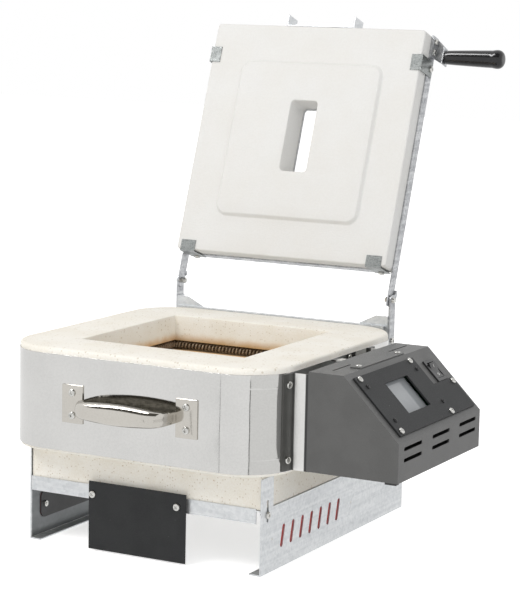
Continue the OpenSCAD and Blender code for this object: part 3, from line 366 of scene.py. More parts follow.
def makeBracketSteel():
    # bright web, with painted reflection of the dark box on the flange that lies on the jacket and
    # painted shade on the fold at the box
    material, tree, shader, place = newMaterial("bracketSteel", Roughness=0.3)
    across = axes(tree, place)[0]
    flange = ramp(tree, across, middle.x + 0.1682, middle.x + 0.1692, 1.0, 0.0, smooth=False)
    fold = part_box("control_box")[0][0] - 0.0065
    foldShadeMask = ramp(tree, across, fold, fold + 0.0008, smooth=False)
    bright = grainOf(tree, place, (0.86, 0.855, 0.835), (0.80, 0.795, 0.775), 30.0, 700.0)
    # painted reflection of the dark box, for the flange on the jacket
    paintedBoxReflection = grainOf(tree, place, (0.085, 0.085, 0.08), (0.065, 0.065, 0.06), 30.0, 700.0)
    colour = mixColour(tree, flange, bright["Colour"], paintedBoxReflection["Colour"])
    # painted shade at the fold by the box
    colour = mixColour(tree, foldShadeMask, colour, (0.035, 0.035, 0.034))
    dark = mathNode(tree, "MAXIMUM", flange, foldShadeMask)
    feed(tree, shader.inputs["Metallic"], ramp(tree, dark, 0.0, 1.0, 0.5, 0.0, smooth=False))
    surface(tree, shader, colour, bright["Height"], 0.08, 0.0002)
    return material


def makeScreen():
    # the grey screen gets a painted reflection that makes it a little paler along its upper end, and has
    # a faint dot grid
    material, tree, shader, place = newMaterial("screen", Roughness=0.12)
    low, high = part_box("display")
    # painted reflection: paler towards the upper end
    reflectionFade = ramp(tree, axes(tree, place)[2], low[2], high[2])
    grain = grainOf(tree, place, (0.33, 0.345, 0.355), (0.27, 0.285, 0.30), 30.0, 1800.0)
    colour = mixColour(tree, times(tree, reflectionFade, 0.5), grain["Colour"], (0.42, 0.435, 0.45))
    surface(tree, shader, colour, grain["Height"], 0.02, 0.0001)
    return material


def makeInset():
    # red on its outer face, which shows through the panel's slots, and dark on the rest
    material, tree, shader, place = newMaterial("redInset", Roughness=0.45)
    away = mathNode(tree, "ABSOLUTE", mathNode(tree, "SUBTRACT", axes(tree, place)[0], middle.x))
    outer = mathNode(tree, "GREATER_THAN", away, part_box("panel_insets")[1][0] - middle.x - 0.0001)
    red = grainOf(tree, place, (0.50, 0.018, 0.012), (0.36, 0.012, 0.01), 40.0, 800.0)
    dark = grainOf(tree, place, (0.055, 0.055, 0.058), (0.035, 0.035, 0.036), 40.0, 800.0)
    colour = mixColour(tree, outer, dark["Colour"], red["Colour"])
    surface(tree, shader, colour, red["Height"], 0.1, 0.0002)
    return material


looks = {
    "brick": makeFirebrick(),
    "fibre": makeFibreBoard(),
    "jacket": makePolishedSteel("jacketSteel", (0.675, 0.67, 0.655), 0.05,
                                {"stretch": (0.8, 0.8, 1.5), "scale": 13.0, "strength": 0.3,
                                 "depth": 0.0024, "hems": ((0.2008, 0.025), (0.1262, 0.02))}),
    "handle": makePolishedSteel("handleSteel", (0.60, 0.575, 0.53), 0.09,
                                {"stretch": (1, 1, 1), "scale": 30.0, "strength": 0.12, "depth": 0.001,
                                 "hems": ((0.0, 0.025), (0.0, 0.02))}),
    # the bow's hollow inner side: rougher steel, its colour darkened as painted shade
    "handleInside": makeZinc("handleInside", (0.36, 0.335, 0.285), (0.20, 0.185, 0.15), 0.35),
    "bracket": makeBracketSteel(),
    "galvanised": makeGalvanised("galvanised", (0.76, 0.775, 0.785), (0.62, 0.64, 0.655), 0.8, 300.0),
    "galvanisedDull": makeGalvanised("galvanisedDull", (0.66, 0.67, 0.68), (0.36, 0.37, 0.39),
                                     0.9, 420.0),
    "panelLeft": makeGalvanised("panelLeft", (0.76, 0.775, 0.785), (0.62, 0.64, 0.655), 0.8, 300.0, True),
    "clipSteel": makeGalvanised("clipSteel", (0.42, 0.44, 0.435), (0.18, 0.19, 0.187), 0.85, 900.0),
    "zinc": makeZinc("zinc", (0.74, 0.735, 0.71), (0.52, 0.515, 0.49), 0.2),
    "boxPaint": makePowderCoat("boxPaint", (0.105, 0.105, 0.103), (0.086, 0.086, 0.084),
                               0.40, 1500.0, 0.5),
    "blackPlate": makePowderCoat("blackPlate", (0.024, 0.025, 0.026), (0.017, 0.018, 0.019), 0.5, 1200.0),
    "blackScrew": makeZinc("blackScrew", (0.06, 0.06, 0.062), (0.03, 0.03, 0.03), 0.35),
    "blackPlastic": makePlastic("blackPlastic", (0.030, 0.030, 0.031), (0.018, 0.018, 0.019), 0.45),
    "switchPlastic": makePlastic("switchPlastic", (0.020, 0.020, 0.021), (0.012, 0.012, 0.013),
                                 0.28, 0.2),
    "grip": makePlastic("gripPlastic", (0.014, 0.014, 0.015), (0.008, 0.008, 0.009),
                        0.16, 0.55, 300.0, 0.03, 0.2),
    "inset": makeInset(),
    "wire": makeGrained("elementWire", (0.52, 0.41, 0.30), (0.26, 0.18, 0.11), (160.0, 1400.0),
                        (0.2, 0.0001), 0.0, Metallic=0.7, Roughness=0.5),
    "tubeCeramic": makePlastic("tubeCeramic", (0.86, 0.82, 0.74), (0.74, 0.69, 0.60),
                               0.7, 0.0, 900.0, 0.2),
    "screen": makeScreen(),
    "board": makePlastic("boardGreen", (0.03, 0.14, 0.07), (0.02, 0.09, 0.045), 0.35, 0.3),
    "terminal": makePlastic("terminalPlastic", (0.72, 0.66, 0.52), (0.62, 0.56, 0.43), 0.5),
    "markWhite": makePlastic("markWhite", (0.82, 0.82, 0.80), (0.72, 0.72, 0.70), 0.4),
}
print("stage: materials", len(looks))


# mesh helpers
def link(name, mesh, material):
    piece = bpy.data.objects.new(name, mesh)
    bpy.context.scene.collection.objects.link(piece)
    mesh.materials.clear()
    mesh.materials.append(material)
    return piece


def smoothShade(mesh, angle=35):
    mesh.shade_smooth()
    mesh.set_sharp_from_angle(angle=math.radians(angle))


def rawMesh(name, points, edges=(), faces=()):
    mesh = bpy.data.meshes.new(name)
    mesh.from_pydata([tuple(p) for p in points], edges, faces)
    return mesh


def joined(mesh, gap):
    # a work mesh whose doubled points are one
    work = bmesh.new()
    work.from_mesh(mesh)
    bmesh.ops.remove_doubles(work, verts=work.verts, dist=gap)
    return work


def store(work, mesh):
    work.to_mesh(mesh)
    work.free()
    return mesh


def meshPiece(name, points, faces, material, angle=35):
    mesh = rawMesh(name, points, faces=faces)
    work = joined(mesh, 1e-7)
    bmesh.ops.recalc_face_normals(work, faces=work.faces)
    smoothShade(store(work, mesh), angle)
    return link(name, mesh, material)


def addLayer(mesh, label, kind, field, values):
    mesh.attributes.new(label, kind, "POINT").data.foreach_set(field, values)


def addModifier(piece, name, kind, **values):
    modifier = piece.modifiers.new(name, kind)
    for key, value in values.items():
        setattr(modifier, key, value)
    return modifier


def settle(piece):
    # turns the piece and its modifiers into one plain mesh
    graph = bpy.context.evaluated_depsgraph_get()
    graph.update()
    mesh = bpy.data.meshes.new_from_object(piece.evaluated_get(graph))
    piece.modifiers.clear()
    piece.data = mesh
    return mesh


def hand(piece, body, slotName, *replaced):
    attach(piece, body)
    if replaced:
        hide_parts(*replaced)
    return piece


def mergedCopy(node):
    mesh = nodes[node].data.copy()
    work = joined(mesh, 2e-6)
    bmesh.ops.dissolve_limit(work, angle_limit=math.radians(0.6), verts=work.verts, edges=work.edges)
    return store(work, mesh)


def camel(node):
    first, *rest = node.split("_")
    return first + "".join(word.capitalize() for word in rest)


def softCopy(node, width, material, segments=2):
    # the same sheet or block with its edges rounded, as bent or moulded ones are
    mesh = mergedCopy(node)
    piece = link(camel(node), mesh, material)
    addModifier(piece, "roundEdge", "BEVEL", width=width / 1000, segments=segments,
                limit_method="ANGLE", angle_limit=math.radians(38), use_clamp_overlap=True)
    addModifier(piece, "evenNormals", "WEIGHTED_NORMAL", mode="FACE_AREA", weight=90, keep_sharp=False)
    mesh.shade_smooth()
    settle(piece)
    return hand(piece, bodyOf[node], slotOf[node], node)


def roundedLoop(halfX, halfY, radius, steps, arcSteps):
    # points round a rectangle with round corners, the same count whatever its size
    points = []
    corners = [(1, 1, 0), (-1, 1, 90), (-1, -1, 180), (1, -1, 270)]
    for index, (signX, signY, turn) in enumerate(corners):
        cx, cy = signX * (halfX - radius), signY * (halfY - radius)
        arc = []
        for k in range(arcSteps + 1):
            angle = math.radians(turn + 90 * k / arcSteps)
            arc.append((cx + radius * math.cos(angle), cy + radius * math.sin(angle)))
        points += arc
        nextX, nextY, nextTurn = corners[(index + 1) % 4]
        goal = (nextX * (halfX - radius) + radius * math.cos(math.radians(nextTurn)),
                nextY * (halfY - radius) + radius * math.sin(math.radians(nextTurn)))
        for k in range(1, steps):
            t = k / steps
            points.append((arc[-1][0] * (1 - t) + goal[0] * t, arc[-1][1] * (1 - t) + goal[1] * t))
    return points


def shellFaces(loopCount, count, closed=True):
    faces = []
    for i in range(loopCount if closed else loopCount - 1):
        j = (i + 1) % loopCount
        for k in range(count):
            m = (k + 1) % count
            faces.append((i * count + k, i * count + m, j * count + m, j * count + k))
    return faces


def addBlock(points, faces, corners):
    # a block from its eight corners, ordered by their first, second and third place
    base = len(points)
    points += corners
    for face in ((0, 1, 3, 2), (4, 6, 7, 5), (0, 4, 5, 1), (2, 3, 7, 6), (0, 2, 6, 4), (1, 5, 7, 3)):
        faces.append(tuple(base + k for k in face))


def edgeArc(halfSize, level, radius, start, end, count=4):
    # half sizes and levels round an edge, for the loops of a shell
    steps = [math.radians(start + (end - start) * k / count) for k in range(count + 1)]
    return [(halfSize + radius * math.cos(a), level + radius * math.sin(a)) for a in steps]


# brick chamber ring, with softened edges
brickRing = {"edge": 3.6, "inner": 1.2, "groove": 10.0, "grooveHigh": 11.0, "wear": 0.5}
ringProfile = (edgeArc(kiln["ringHalf"] - brickRing["edge"], kiln["ringFoot"] + brickRing["edge"],
                       brickRing["edge"], -90, 0, 5)
               + edgeArc(kiln["ringHalf"] - brickRing["edge"], kiln["ringTop"] - brickRing["edge"],
                         brickRing["edge"], 0, 90, 6))
openHalf = kiln["chamber"] / 2
grooveLow = kiln["elementUp"] - brickRing["grooveHigh"] / 2
grooveTop = kiln["elementUp"] + brickRing["grooveHigh"] / 2
ringProfile += [(146, kiln["ringTop"]), (128, kiln["ringTop"])]
rim = brickRing["inner"]
for a in (0, 30, 60, 90):
    ringProfile.append((openHalf + rim - rim * math.sin(math.radians(a)),
                        kiln["ringTop"] - rim + rim * math.cos(math.radians(a))))
grooveEnd = openHalf + brickRing["groove"]
ringProfile += [(openHalf, 212), (openHalf, 202), (openHalf, grooveTop + 0.8),
                (openHalf + 0.8, grooveTop), (grooveEnd, grooveTop), (grooveEnd, grooveLow),
                (openHalf + 0.8, grooveLow), (openHalf, grooveLow - 0.8), (openHalf, 150),
                (openHalf, kiln["ringFoot"]), (128, kiln["ringFoot"])]
ringPoints = []
ringSteps, ringArc = 22, 14
for half, level in ringProfile:
    share = min(1.0, max(0.0, (half - openHalf) / (kiln["ringHalf"] - openHalf)))
    radius = 0.6 + (kiln["ringRound"] - 0.6) * share ** 1.6 if half > openHalf + 12 else 0.6
    radius = min(radius, kiln["ringRound"] - (kiln["ringHalf"] - half) if half > 155 else radius)
    for x, y in roundedLoop(half, half, radius, ringSteps, ringArc):
        point = Vector((x, y, level))
        out = Vector((x, y, 0)).normalized()
        bumpy = 0.5 + 0.5 * noise.noise(point * 0.035) + 0.25 * noise.noise(point * 0.2)
        if half > 150:
            point -= out * brickRing["wear"] * max(0.0, bumpy)
            if level > kiln["ringTop"] - 1:
                point.z -= 0.35 * max(0.0, bumpy)
        ringPoints.append(at(*point))
ringFaces = shellFaces(len(ringProfile), 4 * (ringSteps + ringArc))
ring = meshPiece("brickRing", ringPoints, ringFaces, looks["brick"], 50)
hand(ring, "chamber", "brick", "brick_ring")
softCopy("floor_brick", 1.2, looks["brick"], 3)
print("stage: brickwork")


# fibre lid slab with its shallow moulded pad
lidSlab = {"half": (138.5, 142.25), "along": 175.55, "back": -3.65, "face": 28.1, "edge": 2.2,
           "padHalf": (95.5, 98.0), "padAlong": 175.3, "padUp": 4.5, "padSlope": 5.0, "padRound": 14.0,
           "slotHalf": (17.5, 43.5), "slotAlong": 180.55, "slotRound": 5.0}
slabLoops = []


def slabLoop(halfX, halfY, along, radius, level):
    slabLoops.append([(x, along + y, level) for x, y in roundedLoop(halfX, halfY, radius, 14, 8)])


slotX, slotY = lidSlab["slotHalf"]
faceUp = lidSlab["face"] + lidSlab["padUp"]
for level in (lidSlab["back"], 6, 18, faceUp - 1.5):
    slabLoop(slotX, slotY, lidSlab["slotAlong"], lidSlab["slotRound"], level)
for a in (30, 60, 90):
    grow = 1.5 * (1 - math.cos(math.radians(a)))
    slabLoop(slotX + grow, slotY + grow, lidSlab["slotAlong"], lidSlab["slotRound"] + grow,
             faceUp - 1.5 + 1.5 * math.sin(math.radians(a)))
padX, padY = lidSlab["padHalf"]
topX, topY = padX - lidSlab["padSlope"], padY - lidSlab["padSlope"]
for t in (0.25, 0.5, 0.75):
    slabLoop(slotX + (topX - slotX) * t, slotY + (topY - slotY) * t,
             lidSlab["slotAlong"] + (lidSlab["padAlong"] - lidSlab["slotAlong"]) * t,
             lidSlab["slotRound"] + 4 * t, faceUp)
for k in range(9):
    t = k / 8
    fall = (1 - math.cos(math.pi * t)) / 2
    slabLoop(topX + lidSlab["padSlope"] * t, topY + lidSlab["padSlope"] * t, lidSlab["padAlong"],
             lidSlab["padRound"] - 3 + 5 * t, faceUp - lidSlab["padUp"] * fall)
halfX, halfY = lidSlab["half"]
edge = lidSlab["edge"]
for t in (0.4, 0.8):
    slabLoop(padX + (halfX - edge - padX) * t, padY + (halfY - edge - padY) * t,
             lidSlab["padAlong"] + (lidSlab["along"] - lidSlab["padAlong"]) * t, 12, lidSlab["face"])
for a in (90, 67, 45, 22, 0):
    grow = edge * math.cos(math.radians(a))
    slabLoop(halfX - edge + grow, halfY - edge + grow, lidSlab["along"], 2.0 + grow,
             lidSlab["face"] - edge + edge * math.sin(math.radians(a)))
for a in (0, 45, 90):
    grow = 1.2 * math.cos(math.radians(a))
    slabLoop(halfX - 1.2 + grow, halfY - 1.2 + grow, lidSlab["along"], 3.0 + grow,
             lidSlab["back"] + 1.2 - 1.2 * math.sin(math.radians(a)))
slabPoints = []
for loop in slabLoops:
    for x, along, level in loop:
        dent = 0.25 * noise.noise(Vector((x, along, level)) * 0.03)
        slabPoints.append(onLid(x, along, level - abs(dent) if level > 20 else level))
slabFaces = shellFaces(len(slabLoops), len(slabLoops[0]))
slab = meshPiece("fibreSlab", slabPoints, slabFaces, looks["fibre"], 60)
hand(slab, "lid", "fibre", "lid_slab")
print("stage: lid slab")


# pressed steel lift handle
liftHandle = {"up": 164.4, "clear": 114.0, "out": 34.0, "high": 23.2, "footWide": 26.0, "footHigh": 41.5,
              "footThick": 1.8, "sheet": 1.5, "stations": 96, "arc": 20}


def bowSection(t):
    # one closed section of the hollow bow, from its lower lip over the front to its upper lip and back
    u = t * (2 - abs(t))
    deep = 3 + 5 * (1 - u ** 6)
    high = (0.64 + 0.36 * math.cos(math.radians(90 * u))) * (1 - 0.25 * u ** 12) * liftHandle["high"] / 2
    back = (liftHandle["out"] - 8) * (1 - u ** 12)
    sheetNow = liftHandle["sheet"]
    x = u * (liftHandle["clear"] / 2 + 1)
    loop = []
    for k in range(liftHandle["arc"] + 1):
        a = math.radians(-90 + 180 * k / liftHandle["arc"])
        loop.append((x, -kiln["jacketHalf"] - back - deep * math.cos(a),
                     liftHandle["up"] + high * math.sin(a)))
    for k in range(liftHandle["arc"], -1, -1):
        a = math.radians(-90 + 180 * k / liftHandle["arc"])
        loop.append((x - u * sheetNow, -kiln["jacketHalf"] - back - (deep - sheetNow) * math.cos(a),
                     liftHandle["up"] + (high - sheetNow) * math.sin(a)))
    return loop


bowLoops = [bowSection(-1 + 2 * i / liftHandle["stations"]) for i in range(liftHandle["stations"] + 1)]
bowCount = len(bowLoops[0])
bowFaces = shellFaces(len(bowLoops), bowCount, closed=False)
lastRow = range((len(bowLoops) - 1) * bowCount, len(bowLoops) * bowCount)
bowFaces += [tuple(range(bowCount)), tuple(reversed(lastRow))]
bowPoints = [at(*p) for loop in bowLoops for p in loop]
footPoints, footFaces = [], []
footFace = -kiln["jacketHalf"] - liftHandle["footThick"]
footRise = liftHandle["footHigh"] / 2
for side in (-1, 1):
    reach = sorted((side * liftHandle["clear"] / 2,
                    side * (liftHandle["clear"] / 2 + liftHandle["footWide"])))
    addBlock(footPoints, footFaces, [at(x, y, liftHandle["up"] + z) for x in reach
                                     for y in (footFace, -kiln["jacketHalf"])
                                     for z in (-footRise, footRise)])
bow = meshPiece("handleBow", bowPoints, bowFaces, looks["handle"], 60)
# the hollow inner faces take the material darkened with painted shade
bow.data.materials.append(looks["handleInside"])
for face in bow.data.polygons:
    if face.index < liftHandle["stations"] * bowCount and face.index % bowCount > liftHandle["arc"]:
        face.material_index = 1
feet = meshPiece("handleFeet", footPoints, footFaces, looks["handle"])
addModifier(feet, "roundEdge", "BEVEL", width=0.0006, segments=3)
smoothShade(settle(feet), 50)
hand(bow, "chamber", "polished_steel", "lift_handle")
hand(feet, "chamber", "polished_steel")
print("stage: lift handle")


# lid grip, turned and glossy
lidGrip = {"root": 8.1, "swell": 2.1, "taper": 55.0, "knob": 11.0, "knobFrom": 66.0, "knobLong": 7.0,
           "knobFall": 6.5, "from": 157.1, "along": 293.3, "under": 1.85, "around": 48}
gripProfile = [(0.0, 0.0), (6.6, 0.0), (7.4, 0.3), (7.8, 1.4), (lidGrip["root"], 3.0)]
for k in range(1, 17):
    t = k / 16
    gripProfile.append((lidGrip["root"] + lidGrip["swell"] * t ** 0.8, 3.0 + lidGrip["taper"] * t))
gripProfile += [(10.25, 60.0), (10.6, 61.5), (10.95, 63.5), (lidGrip["knob"], lidGrip["knobFrom"])]
for k in range(1, 9):
    a = math.radians(90 * k / 8)
    gripProfile.append((lidGrip["knob"] - lidGrip["knobFall"] * (1 - math.cos(a)),
                        lidGrip["knobFrom"] + lidGrip["knobLong"] * math.sin(a)))
gripProfile.append((0.0, lidGrip["knobFrom"] + lidGrip["knobLong"]))
gripPoints = []
around = lidGrip["around"]
for radius, reach in gripProfile:
    for k in range(around):
        a = 2 * math.pi * k / around
        gripPoints.append(onLid(lidGrip["from"] + reach, lidGrip["along"] + radius * math.cos(a),
                                lidGrip["under"] + radius * math.sin(a)))
gripFaces = shellFaces(len(gripProfile), around, closed=False)
grip = meshPiece("lidGrip", gripPoints, gripFaces, looks["grip"], 50)
hand(grip, "lid", "grip_plastic", "lid_grip")
print("stage: lid grip")


# geometry node helpers
def geometryTree(name, inputs):
    geometry = "NodeSocketGeometry"
    return nodeGroup(name, "GeometryNodeTree", [("Geometry", geometry, None)] + inputs,
                     [("Geometry", geometry)])


def attribute(tree, label, kind):
    node = addNode(tree, "GeometryNodeInputNamedAttribute", {"Name": label}, data_type=kind)
    return node.outputs["Attribute"]


def closeTree(tree, geometry, end, material):
    real = addNode(tree, "GeometryNodeRealizeInstances", {0: geometry})
    inputs = {"Geometry": real.outputs[0], "Material": material}
    feed(tree, end[0], addNode(tree, "GeometryNodeSetMaterial", inputs).outputs[0])


def runTree(piece, tree, **values):
    modifier = addModifier(piece, "build", "NODES", node_group=tree)
    names = {item.name.replace(" ", ""): item.identifier for item in tree.interface.items_tree
             if item.item_type == "SOCKET" and item.in_out == "INPUT"}
    for label, value in values.items():
        modifier[names[label]] = value
    return settle(piece)


# heating element: a wire wound along the groove by a node tree
element = {"line": 106.1, "round": 8.0, "coil": 3.4, "wire": 0.8, "turns": 181, "steps": 12,
           "tailLow": -14.0, "tailHigh": 6.0, "tailEnd": 176.3}


def makeCoilTree():
    tree, start, end = geometryTree("coilTree", [
        ("Coil Radius", "NodeSocketFloat", 0.003), ("Wire Radius", "NodeSocketFloat", 0.0006),
        ("Points", "NodeSocketInt", 1000), ("Material", "NodeSocketMaterial", None)])
    path = addNode(tree, "GeometryNodeMeshToCurve", {"Mesh": start["Geometry"]})
    inputs = {"Curve": path.outputs[0], "Count": start["Points"]}
    fine = addNode(tree, "GeometryNodeResampleCurve", inputs)
    forward = addNode(tree, "GeometryNodeInputTangent").outputs[0]
    outward = vectorNode(tree, "CROSS_PRODUCT", forward, (0, 0, 1))
    angle = attribute(tree, "angle", "FLOAT")
    reach = times(tree, attribute(tree, "swell", "FLOAT"), start["Coil Radius"])
    inputs = {0: outward, "Scale": times(tree, reach, mathNode(tree, "COSINE", angle))}
    aside = addNode(tree, "ShaderNodeVectorMath", inputs, operation="SCALE").outputs[0]
    upward = upright(tree, times(tree, reach, mathNode(tree, "SINE", angle)))
    inputs = {"Geometry": fine.outputs[0], "Offset": vectorNode(tree, "ADD", aside, upward)}
    wound = addNode(tree, "GeometryNodeSetPosition", inputs)
    inputs = {"Resolution": 7, "Radius": start["Wire Radius"]}
    section = addNode(tree, "GeometryNodeCurvePrimitiveCircle", inputs)
    inputs = {"Curve": wound.outputs[0], "Profile Curve": section.outputs[0], "Fill Caps": True}
    tube = addNode(tree, "GeometryNodeCurveToMesh", inputs)
    closeTree(tree, tube.outputs[0], end, start["Material"])
    return tree


def elementPath():
    # the groove's centre line as (point, swell, angle), with a straight tail at each end
    line, bend = element["line"], element["round"]
    side = 2 * (line - bend)
    part = side + bend * math.pi / 2
    first = side / 2 + element["tailHigh"]
    length = 4 * part - (element["tailHigh"] - element["tailLow"])
    rows = [((element["tailEnd"], element["tailHigh"]), 0.0, 0.0)]
    count = 400
    for i in range(count + 1):
        u = i / count
        s = first + u * length
        turn, t = divmod(s, part)
        if t < side:
            x, y = line, t - side / 2
        else:
            a = (t - side) / bend
            x, y = line - bend + bend * math.cos(a), side / 2 + bend * math.sin(a)
        a = math.radians(90 * turn)
        point = (x * math.cos(a) - y * math.sin(a), x * math.sin(a) + y * math.cos(a))
        swell = min(1.0, u * length / 6, (1 - u) * length / 6)
        rows.append((point, swell, 2 * math.pi * element["turns"] * u))
    rows.append(((element["tailEnd"], element["tailLow"]), 0.0, 2 * math.pi * element["turns"]))
    return rows


rows = elementPath()
pathMesh = rawMesh("elementPath", [at(x, y, kiln["elementUp"]) for (x, y), swell, angle in rows],
                   [(i, i + 1) for i in range(len(rows) - 1)])
for label, column in (("swell", 1), ("angle", 2)):
    addLayer(pathMesh, label, "FLOAT", "value", [row[column] for row in rows])
coil = link("elementCoil", pathMesh, looks["wire"])
runTree(coil, makeCoilTree(), CoilRadius=element["coil"] / 1000, WireRadius=element["wire"] / 1000,
        Points=element["turns"] * element["steps"], Material=looks["wire"])
smoothShade(coil.data, 80)
hand(coil, "chamber", "element_wire", "heating_element")
print("stage: heating element", len(coil.data.polygons), "faces")


# pan head screws, placed by a node tree on the screws of the solids
screwHead = {"sides": 20, "cross": 0.52, "blade": 0.13, "deep": 0.5}


def makeScrewHead():
    work = bmesh.new()
    rings = []
    profile = [(0.98, 0.0), (1.0, 0.08), (1.0, 0.5), (0.96, 0.7), (0.86, 0.86), (0.7, 0.95), (0.4, 0.99)]
    sides = screwHead["sides"]
    for radius, up in profile:
        rings.append([work.verts.new((radius * math.cos(2 * math.pi * k / sides),
                                      radius * math.sin(2 * math.pi * k / sides), up))
                      for k in range(sides)])
    top = work.verts.new((0, 0, 1.0))
    bottom = work.verts.new((0, 0, 0))
    for low, high in zip(rings, rings[1:]):
        for k in range(sides):
            m = (k + 1) % sides
            work.faces.new((low[k], low[m], high[m], high[k]))
    for k in range(sides):
        m = (k + 1) % sides
        work.faces.new((rings[-1][k], rings[-1][m], top))
        work.faces.new((rings[0][m], rings[0][k], bottom))
    head = link("screwHead", store(work, bpy.data.meshes.new("screwHead")), looks["zinc"])
    work = bmesh.new()
    for turn in (0, 90):
        made = bmesh.ops.create_cube(work, size=1)
        for vert in made["verts"]:
            narrow = 0.6 if vert.co.z < 0 else 1.0
            vert.co = Vector((vert.co.x * 2 * screwHead["cross"] * narrow,
                              vert.co.y * 2 * screwHead["blade"],
                              1.2 + (vert.co.z - 0.5) * (0.2 + screwHead["deep"])))
        bmesh.ops.rotate(work, verts=made["verts"], cent=(0, 0, 0),
                         matrix=Matrix.Rotation(math.radians(turn), 3, "Z"))
    cut = link("crossCut", store(work, bpy.data.meshes.new("crossCut")), looks["zinc"])
    addModifier(head, "cross", "BOOLEAN", object=cut, operation="DIFFERENCE", solver="EXACT",
                use_self=True)
    smoothShade(settle(head), 40)
    bpy.data.objects.remove(cut)
    return head


def makeScrewTree():
    tree, start, end = geometryTree("screwTree", [
        ("Head", "NodeSocketObject", None), ("Shank Sides", "NodeSocketInt", 12),
        ("Material", "NodeSocketMaterial", None)])
    source = addNode(tree, "GeometryNodeObjectInfo", {"Object": start["Head"]})
    turn = addNode(tree, "FunctionNodeEulerToRotation", {0: attribute(tree, "turn", "FLOAT_VECTOR")})
    inputs = {"Vertices": start["Shank Sides"], "Radius": 1.0, "Depth": 1.0}
    rod = addNode(tree, "GeometryNodeMeshCylinder", inputs)
    inputs = {"Geometry": rod.outputs["Mesh"], "Translation": (0, 0, -0.49)}
    lowered = addNode(tree, "GeometryNodeTransform", inputs)
    both = addNode(tree, "GeometryNodeJoinGeometry")
    for shape, size in ((source.outputs["Geometry"], "headSize"), (lowered.outputs[0], "shankSize")):
        inputs = {"Points": start["Geometry"], "Instance": shape, "Rotation": turn.outputs[0],
                  "Scale": attribute(tree, size, "FLOAT_VECTOR")}
        feed(tree, both.inputs[0], addNode(tree, "GeometryNodeInstanceOnPoints", inputs).outputs[0])
    closeTree(tree, both.outputs[0], end, start["Material"])
    return tree


def islands(node):
    # the points of each loose part of a solid
    work = joined(nodes[node].data, 2e-6)
    left = set(work.verts)
    groups = []
    while left:
        stack, group = [left.pop()], []
        while stack:
            vert = stack.pop()
            group.append(vert.co.copy())
            for edgeNow in vert.link_edges:
                other = edgeNow.other_vert(vert)
                if other in left:
                    left.discard(other)
                    stack.append(other)
        groups.append(np.array([tuple(c) for c in group]))
    work.free()
    return groups


def screwPlace(points):
    # axis, seat, head and shank sizes of one turned screw, from its own points
    centre = points.mean(axis=0)
    values, vectors = np.linalg.eigh(np.cov((points - centre).T))
    gaps = [abs(values[1] - values[2]), abs(values[0] - values[2]), abs(values[0] - values[1])]
    axis = vectors[:, int(np.argmin(gaps))]
    along = (points - centre) @ axis
    away = points - centre - np.outer(along, axis)
    middleAway = (away.max(axis=0) + away.min(axis=0)) / 2
    radius = np.linalg.norm(away - middleAway, axis=1)
    if radius[along > along.max() - 5e-5].max() < radius[along < along.min() + 5e-5].max():
        axis, along = -axis, -along
    seat = along[radius > radius.max() * 0.97].mean()
    shankRadius = radius[along < along.min() + 5e-5].max()
    return (Vector(centre + middleAway + axis * seat), Vector(axis), radius.max(), along.max() - seat,
            min(shankRadius, radius.max() * 0.7), seat - along.min())


screwTree = makeScrewTree()
head = makeScrewHead()
screwSets = [
    ("chamberScrews", "chamber", "screw_steel", "zinc",
     ["handle_screws", "post_screws", "bracket_screws", "box_screws", "panel_screws",
      "top_cover_screws"]),
    ("chamberDarkScrews", "chamber", "black_screws", "blackScrew", ["board_screws"]),
    ("standScrews", "stand", "screw_steel", "zinc", ["rail_screws", "notice_screws"]),
    ("lidScrews", "lid", "screw_steel", "zinc", ["clip_screws", "grip_screws"]),
]
for name, body, slotName, look, sources in screwSets:
    places, turns, headSizes, shankSizes = [], [], [], []
    for node in sources:
        for points in islands(node):
            place, axis, headRadius, headLong, shankRadius, shankLong = screwPlace(points)
            spin = Matrix.Rotation(random.uniform(0, math.pi / 2), 4, "Z")
            turn = axis.to_track_quat("Z", "X").to_matrix().to_4x4() @ spin
            places.append(place)
            turns.append(turn.to_euler())
            headSizes.append((headRadius, headRadius, headLong))
            shankSizes.append((shankRadius, shankRadius, max(shankLong, 0.0005)))
    mesh = rawMesh(name, places)
    for label, rowsNow in (("turn", turns), ("headSize", headSizes), ("shankSize", shankSizes)):
        addLayer(mesh, label, "FLOAT_VECTOR", "vector", [c for row in rowsNow for c in row])
    piece = link(name, mesh, looks[look])
    runTree(piece, screwTree, Head=head, ShankSides=12, Material=looks[look])
    smoothShade(piece.data, 40)
    hand(piece, body, slotName, *sources)
    print("stage:", name, len(places))
bpy.data.objects.remove(head)


# sheet steel, plates and mouldings, with the rounded edges of real ones
softened = {
    "panelLeft": [("side_panel_left", 0.35)],
    "galvanised": [("side_panel_right", 0.35), ("front_rail", 0.35), ("rear_rail", 0.35),
                   ("rear_plate", 0.35), ("front_bracket", 0.35), ("slot_plate", 0.3),
                   ("box_back_plate", 0.3)],
    "clipSteel": [("lid_clips", 0.25)],
    "galvanisedDull": [("hinge_post_left", 0.35), ("hinge_post_right", 0.35), ("lid_arm_left", 0.35),
                       ("lid_arm_right", 0.35), ("lid_cross_angle", 0.35), ("grip_bracket", 0.35)],
    "jacket": [("steel_jacket", 0.15)],
    "bracket": [("box_brackets", 0.3)],
    "boxPaint": [("control_box", 0.5), ("top_cover", 0.3)],
    "blackPlate": [("control_panel", 0.4), ("notice_plate", 0.3)],
    "switchPlastic": [("switch_housing", 0.4), ("switch_rocker", 0.5)],
    "blackPlastic": [("cord_gland", 0.4), ("relay", 0.8), ("box_bumper", 0.4)],
    "terminal": [("terminal_block", 0.4)],
    "board": [("controller_board", 0.2)],
}
for look, parts in softened.items():
    for node, width in parts:
        softCopy(node, width, looks[look])
print("stage: sheet metal and mouldings")

# the other solids keep their shape and get their finish
kept = {"panel_insets": "inset", "inset_nuts": "zinc", "notice_spacers": "blackPlastic",
        "tilt_bolts": "zinc", "lid_pivot_bolts": "zinc", "element_tubes": "tubeCeramic",
        "thermocouple": "tubeCeramic", "display": "screen"}
for node, look in kept.items():
    for slotNow in nodes[node].material_slots:
        slotNow.material = looks[look]


